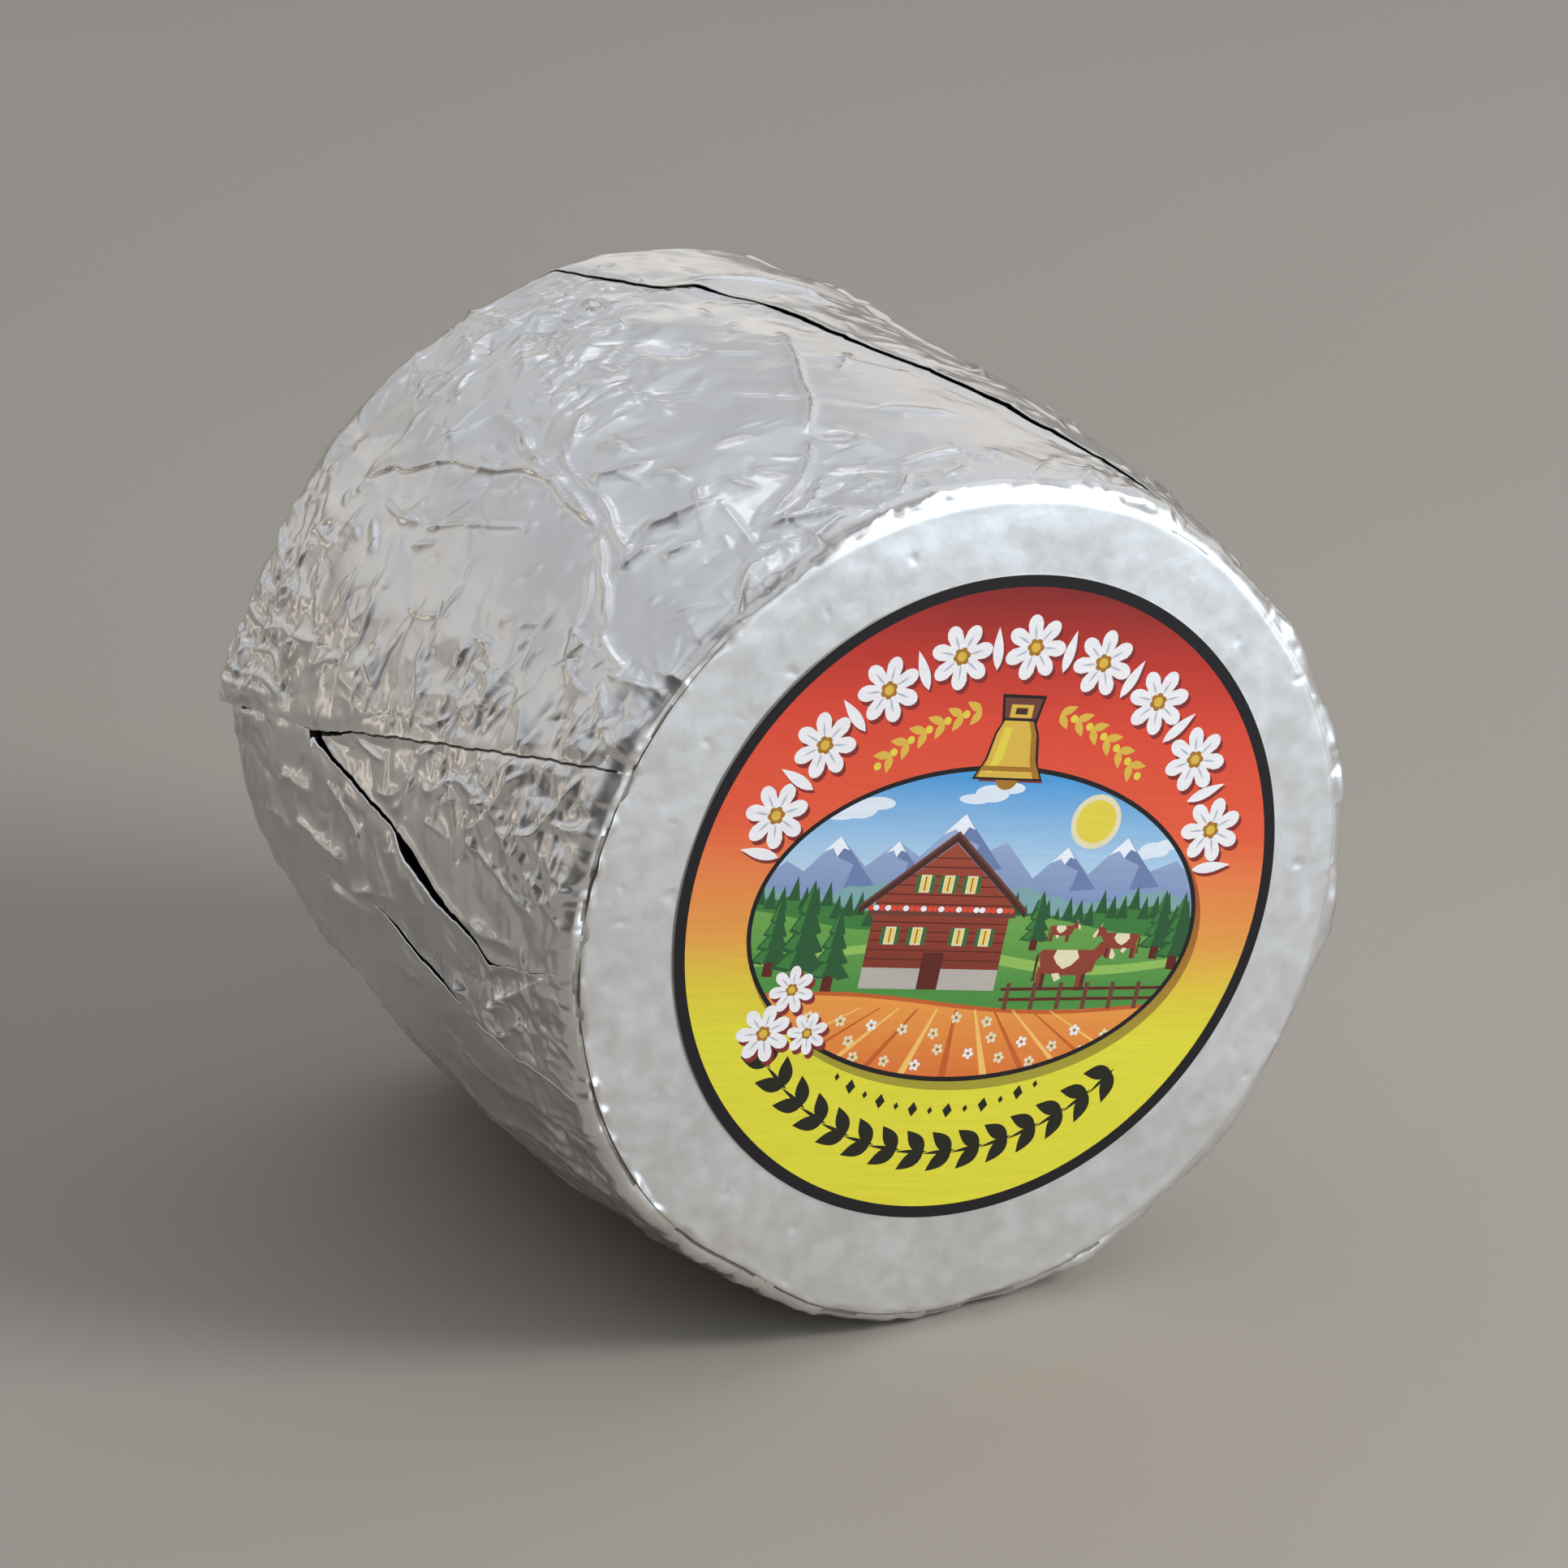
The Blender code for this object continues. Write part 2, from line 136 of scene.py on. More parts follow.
# Folds pressed into the foil: (height, flank width, steep flank's width, route, ...), where each route is a
# list of (turn, station). The steep flank is on the right of the way along a route, and a negative height
# is a valley.
CREASES = [
    # the long fold from the back rim down to the front one, and the flap beside it
    (0.45, 1.6, 0.3, [(42.5, 69.3), (40, 68.8), (37.5, 66.5), (33.5, 64.5), (32.4, 62), (32.5, 59),
      (32.8, 56), (34, 52)]),
    (0.5, 1.6, 0.3, [(36, 46), (36.6, 50), (39, 55), (40.4, 60), (40.8, 62.5), (42.5, 66), (45, 70),
      (45.5, 73), (47, 75), (49.5, 79)]),
    (0.4, 1.0, 0.4, [(37, 30), (36.8, 38), (35.9, 44), (36.5, 50)], [(24.8, 52), (28, 49.3),
      (31.5, 45.8)]),
    (0.3, 0.5, 0.4, [(33, 57), (34.2, 52), (35.2, 46.5)]),
    (0.3, 0.6, 0.3, [(38, 60), (38, 56), (35.8, 52)]),
    (0.3, 0.5, 0.35, [(31, 48.5), (33, 44), (33.8, 38), (34, 35.5)]),
    (0.45, 0.9, 0.4, [(33.6, 36), (34.6, 31), (36.3, 27), (37.4, 21.8)]),
    (0.35, 0.6, 0.35, [(34.8, 52), (35, 44), (36, 36), (37.5, 30.5)]),
    (0.55, 1.4, 0.35, [(37.5, 29.8), (39.5, 26), (41.5, 23.5), (42.5, 21), (44.5, 18.5), (46.3, 16.5)]),
    (0.5, 1.2, 0.4, [(47, 17.5), (48.3, 14), (49, 11), (49.2, 7)]),
    (0.5, 1.1, 0.35, [(51, 11.7), (50.2, 7), (48.6, 1.2)]),
    (0.3, 0.8, 0.35, [(40.5, 27), (43, 24.5), (45, 22.5), (50, 20.5), (53, 18), (54.3, 14), (54, 10.5)]),
    (-0.45, 1.4, 0.6, [(51, 5.5), (53, 5.4), (55, 4)]),
    (0.35, 0.9, 0.4, [(51.2, 11.8), (56, 6), (60, 1.5)]),
    (0.4, 0.5, 0.4, [(50.2, 60), (47, 53.5), (44.2, 46), (42.3, 41.2)]),
    (0.25, 0.4, 0.25, [(43.5, 41), (40.8, 40.5)]),
    (0.3, 0.6, 0.35, [(53, 60.5), (51.5, 57.5), (50.2, 55)]),
    (0.35, 0.7, 0.35, [(49.8, 66), (49.8, 60)]),
    (0.5, 0.9, 0.35, [(52.4, 71.5), (54, 69), (56.7, 65)]),
    (0.3, 1.2, 0.4, [(31, 80), (32.5, 84), (34.5, 88)]),
    (0.3, 0.7, 0.35, [(32.5, 79.5), (35, 85.5)]),
    (0.35, 0.8, 0.35, [(27.5, 77.8), (31.8, 76), (33.5, 74.5), (34.8, 71.2)], [(20.5, 78.5),
      (24.6, 75.3)]),
    # between the long fold and the seam
    (0.25, 0.8, 0.25, [(60, 46.3), (57, 45.8), (52, 45.3)]),
    (0.25, 0.6, 0.3, [(56.3, 45.7), (58, 47.2), (59, 51), (59.2, 55)], [(59, 73), (56.5, 72.8), (54, 72)],
     [(63.8, 66), (65.3, 62.5), (66, 60.5)]),
    (0.25, 0.8, 0.3, [(58.3, 76.3), (55, 75), (51, 74)], [(48.5, 36.5), (46.5, 35), (44.3, 34)]),
    (0.3, 0.6, 0.3, [(57.8, 84), (58.8, 79), (58.2, 75)], [(57, 38), (56.6, 35), (56.2, 33)]),
    (0.25, 0.7, 0.3, [(49.8, 63.9), (46.8, 62.6)]),
    (0.25, 0.5, 0.3, [(59, 35), (57, 34)]),
    (0.25, 0.8, 0.35, [(58, 25), (54, 26), (51, 26.8), (47, 26.2)]),
    (0.3, 0.8, 0.3, [(50, 72), (50.6, 66), (50, 61)], [(63.5, 29.2), (61, 29.7), (59.2, 31.5)],
     [(70.5, 64), (69, 62), (66.5, 60.4), (60, 61.2)], [(64.5, 69.4), (60, 68)],
     [(71, 74.5), (74, 75), (76, 77)]),
    (0.25, 0.9, 0.35, [(47.5, 86), (45, 84), (44, 83)]),
    (0.3, 0.7, 0.3, [(48.5, 17), (50, 18), (52, 19.5)], [(66.5, 18.2), (63, 20), (60, 22.2)]),
    (0.3, 0.5, 0.3, [(63.6, 31.5), (63.5, 27.7)]),
    (0.35, 0.9, 0.3, [(66, 27.6), (64, 27.4), (61, 26.8), (59.3, 25.2)]),
    (0.35, 0.8, 0.3, [(70, 42), (68.5, 42.6), (66, 44), (64, 46), (60.5, 46.8)],
     [(70.7, 62.5), (70.8, 65), (72.3, 67.5), (74.4, 70.3)]),
    (0.4, 0.7, 0.3, [(70.5, 41.5), (69, 37.2), (67.5, 35.5), (67.3, 34)]),
    (0.3, 0.9, 0.35, [(74, 33), (71, 33.8), (67.5, 34), (65, 33), (64, 31)]),
    (0.3, 1.2, 0.5, [(71, 70.8), (68, 72.5), (65, 75), (62, 77.5), (60, 79.2)]),
    # the tucked sheet
    (0.5, 1.1, 0.5, [(71.3, 35.6), (73, 37.8), (76, 39.5), (79.5, 41.5), (81.3, 44.5), (82.3, 49)]),
    (0.4, 0.9, 0.4, [(76, 37.5), (79, 39), (81.8, 41.5), (83, 44.5)]),
    (0.5, 0.8, 0.45, [(76.3, 37.8), (77, 35), (76, 33), (74, 30.5), (73, 28), (73.4, 25), (72.8, 22)]),
    (0.4, 0.6, 0.4, [(74.8, 26), (74.3, 23.5), (73.5, 21.5)]),
    (0.45, 0.9, 0.35, [(78.5, 25.8), (77, 23), (75, 21), (72, 19.3), (69, 17.8), (66.3, 15.2)]),
    (0.5, 0.9, 0.35, [(74.8, 15.3), (73.8, 12.5), (73.3, 11), (70, 9), (66, 7), (62, 5.4)]),
    (0.35, 0.6, 0.35, [(75, 17), (71.5, 16), (68.5, 16.5)]),
    (0.35, 0.5, 0.35, [(63.5, 11.5), (66, 12.8), (69, 12)]),
    (0.35, 0.5, 0.3, [(79, 25), (79.8, 20), (81.5, 13.5), (82.8, 7.5)]),
    (0.3, 0.5, 0.3, [(78, 22.6), (80.2, 22.4)]),
    (0.35, 0.7, 0.35, [(77.5, 46), (78, 50), (77.7, 55.5)]),
    (0.45, 1.0, 0.8, [(88.3, 33), (89, 27), (89.4, 22), (89, 15), (88.3, 11)]),
    (0.4, 0.7, 0.35, [(80.8, 8), (80, 5.5), (78, 3), (74, 1.8)]),
    (0.4, 0.6, 0.3, [(70.5, 9), (70, 5), (68.8, 2)]),
    (0.35, 0.7, 0.3, [(64.5, 5.5), (66, 3), (66.5, 1.5)]),
    (0.35, 0.6, 0.3, [(76, 9), (77.5, 7.8), (78, 5.5)]),
    # below it
    (0.4, 1.0, 0.5, [(85, 61), (86.5, 56), (88, 52), (89.3, 50), (93.5, 49.8)]),
    (1.2, 2.6, 1.8, [(94.6, 71), (94, 66), (94.4, 60), (93.8, 54)]),
    (0.7, 1.6, 1.1, [(98.2, 55), (97, 51.5), (95.4, 48), (94, 46.5)]),
    (0.7, 2.4, 1.4, [(100.5, 63), (100.8, 56), (99.6, 50), (98.6, 47)]),
    (0.6, 2.0, 1.2, [(105.5, 58), (105, 48), (103.6, 41), (103.9, 36)]),
    (0.6, 1.8, 1.0, [(90, 76), (89.5, 70), (88.5, 64)]),
    (0.8, 2.6, 1.6, [(109, 82), (107.5, 74), (108.2, 66)]),
    (0.6, 2.4, 1.3, [(99, 84), (97.5, 78), (98.5, 72)]),
    (0.5, 0.8, 0.4, [(80.6, 63.4), (81.4, 60), (82.4, 56.5), (82.8, 54.5)]),
    (0.35, 0.5, 0.3, [(92, 32.4), (90.5, 33.5), (88.6, 36)]),
    (0.3, 0.6, 0.35, [(86.4, 39.2), (88, 42), (88.8, 44.5)]),
    (0.3, 1.2, 0.8, [(96.5, 50), (95.5, 47), (94.2, 42), (94, 37.5)]),
    (0.45, 0.8, 0.35, [(98, 19), (97.3, 16), (95, 12), (92, 8), (89, 3.3)]),
    (0.55, 0.7, 0.5, [(100.5, 29), (99.6, 26.5), (99.3, 23)]),
    (0.5, 0.6, 0.35, [(98, 15), (100, 19.5), (102.5, 20.5), (103, 17), (101, 14)]),
    (0.45, 0.7, 0.4, [(101, 14.5), (99.5, 12), (99.6, 9.5)]),
    (0.35, 0.7, 0.35, [(92.5, 13), (93.2, 10), (96, 9.3), (100, 8)], [(97.8, 7), (98.5, 4), (99.8, 1.5)]),
    (0.3, 0.8, 0.8, [(105, 72), (103.5, 66), (101, 60)]),
    (0.4, 1.2, 0.9, [(114, 3), (112, 14), (114, 28), (110, 40)]),
    (0.6, 1.4, 0.9, [(124, 4), (121, 20), (124, 36), (120, 52)]),
    # the top
    (0.49, 0.9, 0.39, [(-3, 53), (-1, 46), (0.5, 42), (3, 36), (4.8, 30.8), (7, 27), (9.7, 22.8)]),
    (0.49, 0.7, 0.39, [(10, 22), (13, 17.5), (17, 13.5), (20, 12), (22.5, 11)],
     [(14.5, 3.4), (19, 3), (23, 1.6)]),
    (-0.56, 0.6, 0.52, [(9.3, 22.7), (7, 20.7), (4.8, 18.6)]),
    (0.42, 0.6, 0.39, [(-2.4, 37), (-5, 40), (-8.3, 44.2)], [(-22.8, 4), (-25, 5), (-29, 8.6)],
     [(-17, 2), (-20, 5), (-23, 9)], [(19, 20.8), (18, 18.4), (16.4, 17)]),
    (0.35, 1.2, 0.91, [(-9.8, 21.3), (-6, 23.2), (0, 25.5)]),
    (0.56, 0.8, 0.45, [(-6.3, 10.3), (-2, 10.2), (0, 9.9), (4.2, 9.6)]),
    (0.56, 0.6, 0.45, [(5.2, 6.8), (7, 4.2), (8.4, 2.6)]),
    (0.49, 0.6, 0.45, [(-3, 6), (-0.5, 4.6), (2, 3.6)]),
    (0.49, 0.6, 0.39, [(14, 12.2), (17, 9.6), (19.3, 8.7)]),
    (0.9, 1.0, 0.5, [(24.6, 10.3), (20, 7), (13.8, 3.2)]),
    (0.35, 0.6, 0.45, [(-10, 2), (-14, 6), (-19, 10.3)]),
    (0.5, 0.7, 0.4, [(22.3, 22), (21.5, 19), (20.3, 16.6)]),
    (0.45, 0.7, 0.4, [(20.5, 29), (17.5, 28.3), (14.8, 27)]),
    (0.49, 0.7, 0.45, [(25.2, 23.6), (26.7, 20.8)], [(10, 78.6), (12.4, 75), (12.9, 72)]),
    (0.31, 0.8, 0.45, [(25, 19.5), (25.8, 14), (27, 8), (28.2, 2.5)]),
    (0.95, 1.4, 0.65, [(34.5, 24.6), (31, 22), (28, 20.5), (24.8, 19.5)]),
    (0.9, 1.3, 0.6, [(40.5, 21.6), (37, 21), (34, 20.2)], [(33.4, 38.8), (30, 35.5), (25.8, 33.5)]),
    (0.8, 1.2, 0.55, [(35.4, 18), (33, 16.1), (30.5, 15.8)]),
    (0.49, 1.0, 0.65, [(28.4, 32.2), (26.3, 29), (25.4, 24.5)]),
    (0.6, 1.0, 0.6, [(28.6, 44), (27.2, 39.5), (26.6, 37)]),
    (0.35, 0.8, 0.52, [(19, 40), (19.6, 46), (20, 50.5)]),
    (0.63, 0.7, 0.45, [(28.3, 5.6), (31, 3.8), (34, 1.6), (34.8, 0.5)]),
    (-0.9, 1.8, 1.4, [(8.3, 51.5), (11, 55), (14.3, 60.5)]),
    (-0.49, 1.3, 1.17, [(16, 55), (18.5, 60.8)]),
    (0.56, 0.9, 0.52, [(12.2, 69.5), (12, 67), (12.3, 64.5)]),
    (-0.49, 0.8, 0.65, [(13, 66), (16.4, 66.5)]),
    (0.63, 1.2, 0.45, [(20, 80), (21.1, 84), (22, 90), (21.3, 97)]),
    (0.49, 0.8, 0.45, [(19, 80.5), (16, 78.3), (14.5, 77)]),
    (0.9, 1.6, 0.7, [(-20, 69), (-15, 73), (-9, 74.3), (-2, 75)]),
    # across the far sheet's free edge
    (0.5, 1.0, 0.5, [(-29, 13.5), (-25, 12.3)], [(-23.5, 27.5), (-20, 26)]),
    (0.5, 0.9, 0.5, [(-26, 20.5), (-22.2, 19)]),
    (0.45, 0.9, 0.4, [(-18, 38.5), (-15, 37)], [(-12.5, 50.5), (-9.3, 49)]),
    (0.4, 0.9, 0.4, [(-7, 64.5), (-4.4, 63)]),
    # the left of the back rim
    (0.3, 0.8, 0.3, [(72, 94), (74, 86), (72, 80), (73.5, 75)]),
    (0.3, 0.7, 0.3, [(76, 95), (77.5, 88), (76, 82), (77.5, 78)], [(79.5, 96), (81, 88), (79.5, 82),
      (80.5, 74)]),
    (0.28, 0.8, 0.3, [(82.5, 96), (83, 90), (81.8, 84), (81, 78)]),
    (0.26, 0.8, 0.3, [(68, 92), (69.5, 86), (67, 82), (70, 78)]),
    (0.4, 0.8, 0.4, [(79, 79), (76, 77.6), (73, 77), (71, 75.6)]),
    # the right side, the underside and the back, which the photograph doesn't show
    (0.6, 1.4, 0.6, [(310, 88), (306, 66), (313, 48), (309, 22)], [(234, 84), (229, 60), (236, 34)],
     [(215, 70), (210, 46), (217, 20)]),
    (0.7, 1.4, 0.5, [(288, 82), (294, 60), (286, 40), (292, 18)]),
    (0.5, 1.0, 0.4, [(276, 96), (272, 74), (279, 52)], [(322, 90), (330, 74), (326, 56), (334, 40)],
     [(303, 12), (312, 20), (322, 18)]),
    (0.5, 0.9, 0.35, [(300, 30), (292, 44), (281, 46)]),
    (0.5, 1.0, 0.5, [(132, 92), (127, 70), (133, 52)]),
    (0.5, 0.9, 0.4, [(139, 60), (132, 44), (136, 24)]),
    (0.5, 1.1, 0.6, [(165, 96), (168, 78), (163, 60)]),
]

# Where small crumples crowd: (turn, station, reach round, reach back, strength)
CROWDED = [
    (76, 85, 15, 11, 1.0), (60, 90, 14, 6, 0.5), (70, 58, 6, 16, 0.5), (76, 22, 10, 18, 0.8),
    (66, 9, 12, 8, 0.8), (100, 18, 7, 14, 1.0), (24, 44, 6, 5, 0.3), (23, 62, 8, 12, 0.4),
    (8, 8, 14, 4, 0.4), (28, 8, 8, 5, 0.4), (-25, 6, 10, 6, 0.5), (31, 84, 12, 9, 0.6),
    (12, 78, 8, 10, 0.5), (60, 30, 8, 8, 0.5), (120, 10, 16, 9, 0.7), (118, 88, 18, 8, 0.6),
    (-60, 10, 22, 8, 0.6), (-95, 84, 20, 10, 0.9), (-120, 40, 14, 20, 0.5), (-75, 50, 16, 16, 0.4),
    (175, 30, 24, 22, 0.5), (-150, 84, 20, 9, 0.7), (-40, 84, 14, 9, 0.5), (150, 88, 18, 8, 0.7),
]
# Where the foil lies smooth: (turn, station, reach round, reach back)
CALM = [
    (-2, 62, 10, 12), (-12, 26, 9, 12), (47, 34, 8, 9), (35, 9, 7, 7), (84, 30, 4, 12), (40, 84, 8, 6),
    (23, 28, 13, 12), (8, 38, 12, 14), (-5, 18, 14, 10), (102, 72, 10, 16), (45, 68, 4, 8),
    (-15, 84, 10, 6), (54, 54, 5, 6), (130, 60, 14, 14),
]

# The surround's colour by height, from straight down (-1) to overhead (1)
SURROUND = [
    (-0.1, (0.20, 0.17, 0.14)), (0.0, (0.36, 0.33, 0.30)), (0.16, (0.58, 0.56, 0.54)),
    (0.42, (0.50, 0.505, 0.52)), (0.6, (0.55, 0.57, 0.605)), (0.8, (0.66, 0.68, 0.725)),
    (1.0, (0.72, 0.73, 0.75)),
]
# How strong it is, from the front (-1) to the back (1), and from the left (-1) to the right (1)
FRONT_TO_BACK = [(-1.0, 1.4), (-0.93, 1.0), (-0.78, 0.2), (-0.3, 0.4), (0.35, 1.0)]
LEFT_TO_RIGHT = [(-0.98, 0.3), (-0.6, 1.0), (0.1, 1.03), (0.6, 1.4)]

WHITE = (1.0, 1.0, 1.0)
# The place inside the wheel that most lamps face
HEART = (0, 0, 0.05)
# Square lamps, in metres and watts: name, place, side, power, colour, the place it faces, spread in degrees
LIGHTS = [
    ("key", (0.88, -0.92, 0.84), 0.55, 15.3, (1.0, 0.97, 0.94), HEART, 180),
    ("top", (0.62, -0.35, 0.88), 0.45, 0.5, WHITE, HEART, 180),
    ("over_rim", (-0.42, -0.5, 0.98), 0.7, 0.55, WHITE, HEART, 180),
    ("spark", (0.02, 0.69, 0.97), 0.22, 0.065, WHITE, HEART, 180),
    ("front", (0.5, -0.7, 0.16), 0.3, 2.4, (0.6, 0.8, 1.0), (0, 0, 0.06), 180),
    ("far_floor", (-0.62, 0.85, 0.7), 0.5, 3.7, (1.0, 0.95, 0.88), (-0.62, 0.86, 0), 75),
]
# How unevenly bright the surround is, and how many patches there are across it
SURROUND_PATCHES = (0.78, 1.18)
PATCH_SCALE = 3.2
# How far the floor reaches, in metres, how far it lies under the wheel, and its two greys
FLOOR_REACH = 4
FLOOR_DROP = 0.2
FLOOR_GREYS = ((0.358, 0.326, 0.287), (0.378, 0.346, 0.307))
# The foil's two colours, which lie in soft patches, its roughness and what its grain adds to that
FOIL_COLOURS = ((0.80, 0.80, 0.795), (0.87, 0.87, 0.87))
FOIL_ROUGHNESS = 0.18
FOIL_GRAIN = (-0.05, 0.07)
# The duller foil of the labelled end, and how far back it fades into the other
END_FADE = 2.2
END_ROUGHNESS = 0.34

# The pleats of the plain end: how many, and how far they swirl on their way to the middle, in degrees
PLEATS = 17
SWIRL = 26
# How many places are tried for small folds and for patches of wrinkles
CRUMPLE_TRIES = 9000
WRINKLE_TRIES = 420
# How far a pressed fold's crest is rounded off
CREST_ROUNDING = 0.12
# Between these turns, beside the tucked sheet, most of the small folds run round the wheel
LAID_ROUND = (52, 88)
# How many columns there are all round the foil of the labelled end and of the plain end
FRONT_COLUMNS = 900
BACK_COLUMNS = 520
# The stations at which the two ends' flats meet the rims
FRONT_START = FRONT_ROUNDING * (1 - pi / 2)
BACK_START = LENGTH - BACK_ROUNDING + BACK_ROUNDING * pi / 2
# The map of the unrolled side: its length round the wheel, its cells and its last station
ROUND = 2 * pi * MIDDLE_RADIUS
MAP_CELL = 0.2
MAP_END = 104.0


def soft_step(value):
    """A smooth step from 0 to 1."""
    value = np.clip(value, 0, 1)
    return value * value * (3 - 2 * value)


def barrel_radius(back):
    """The smooth wheel's radius, with its swollen side and rounded rims."""
    across = 2 * back / LENGTH - 1
    radius = END_RADIUS + SIDE_BULGE * (1 - across * across)
    for rounding, inset in ((FRONT_ROUNDING, back), (BACK_ROUNDING, LENGTH - back)):
        short = np.clip(rounding - inset, 0, rounding)
        radius = radius - (rounding - np.sqrt(rounding * rounding - short * short))
    return radius


def outline_tables():
    """The smooth wheel's outline by station: station, radius, distance back and outward normal."""
    quarter = np.linspace(0, pi / 2, 24)
    flat, far_flat = END_RADIUS - FRONT_ROUNDING, END_RADIUS - BACK_ROUNDING
    front = np.linspace(0, flat, 80)[:-1]
    arc_back = FRONT_ROUNDING * (1 - np.cos(quarter))
    side = np.linspace(FRONT_ROUNDING, LENGTH - BACK_ROUNDING, 200)[1:-1]
    far_arc = LENGTH - BACK_ROUNDING + BACK_ROUNDING * np.sin(quarter)
    last = np.linspace(far_flat, 0, 80)[1:]
    station = np.concatenate([
        FRONT_START - (flat - front), FRONT_START + FRONT_ROUNDING * quarter, side,
        LENGTH - BACK_ROUNDING + BACK_ROUNDING * quarter, BACK_START + (far_flat - last),
    ])
    radius = np.concatenate([front, *(barrel_radius(back) for back in (arc_back, side, far_arc)), last])
    back = np.concatenate([0 * front, arc_back, side, far_arc, 0 * last + LENGTH])
    step_radius, step_back = np.gradient(radius), np.gradient(back)
    size = np.hypot(step_radius, step_back)
    return station, radius, back, step_back / size, -step_radius / size


STATIONS, RADII, BACKS, NORMAL_OUT, NORMAL_BACK = outline_tables()
FRONT_MIDDLE = STATIONS[0]
BACK_MIDDLE = STATIONS[-1]


def turned_difference(turn, middle):
    """How far a turn is from another, the short way round, in mm on the side."""
    return np.radians((turn - middle + 180) % 360 - 180) * MIDDLE_RADIUS


def swelling(turn, back):
    """How far the whole wheel swells at a place on its side."""
    lift = 0
    for middle_turn, middle_back, reach, height in SWELLINGS:
        off = turned_difference(turn, middle_turn)
        lift = lift + height * np.exp(-(off * off + (back - middle_back) ** 2) / reach ** 2)
    return lift


def on_wheel(turn, station, lift):
    """World places, in metres, of points on the wheel raised off its smooth surface."""
    turn, station, lift = np.broadcast_arrays(turn, station, lift)
    radius = np.interp(station, STATIONS, RADII)
    back = np.interp(station, STATIONS, BACKS)
    swell = swelling(turn, back) * soft_step((radius - 30) / (END_RADIUS - 33))
    radius = radius + lift * np.interp(station, STATIONS, NORMAL_OUT) + swell
    back = back + lift * np.interp(station, STATIONS, NORMAL_BACK)
    angle = np.radians(turn)
    places = np.stack([-radius * np.sin(angle), back, radius * np.cos(angle)], axis=-1) * MM + END_MIDDLE
    places[..., 2] = np.maximum(places[..., 2], 0.0)
    return places


class SmoothNoise:
    """Seeded value noise from -1 to 1 through space."""

    def __init__(self, seed, cells=32):
        self.cells = cells
        self.values = np.random.default_rng(seed).uniform(-1, 1, (cells, cells, cells))

    def at(self, places, size):
        """The noise at places, an array of x, y, z, with lumps about size across."""
        scaled = places / size
        low = np.floor(scaled).astype(int)
        share = scaled - low
        share = share * share * (3 - 2 * share)
        total = 0
        for corner in range(8):
            step = np.array([corner & 1, corner >> 1 & 1, corner >> 2 & 1])
            index = (low + step) % self.cells
            weight = np.prod(np.where(step, share, 1 - share), axis=-1)
            total = total + weight * self.values[index[..., 0], index[..., 1], index[..., 2]]
        return total


def drum_places(turn, station):
    """Places in space, in mm, for noise that runs on round the wheel without a seam."""
    turn, station = np.broadcast_arrays(turn, station)
    radius = np.interp(station, STATIONS, RADII)
    back = np.interp(station, STATIONS, BACKS)
    angle = np.radians(turn)
    return np.stack([radius * np.sin(angle), back, radius * np.cos(angle)], axis=-1) + 400


def smooth_route(points, step=0.8):
    """A smooth curve through (turn, station) points, as unrolled x and y in mm."""
    places = np.array([(radians(turn) * MIDDLE_RADIUS, station) for turn, station in points])
    places = np.concatenate([[2 * places[0] - places[1]], places, [2 * places[-1] - places[-2]]])
    route = []
    for before, start, end, after in zip(places, places[1:], places[2:], places[3:]):
        t = np.linspace(0, 1, max(int(np.hypot(*(end - start)) / step), 1), endpoint=False)[:, None]
        route.append(0.5 * (
            2 * start + (end - before) * t + (2 * before - 5 * start + 4 * end - after) * t ** 2
            + (3 * start - before - 3 * end + after) * t ** 3
        ))
    return np.concatenate([*route, places[-2:-1]])


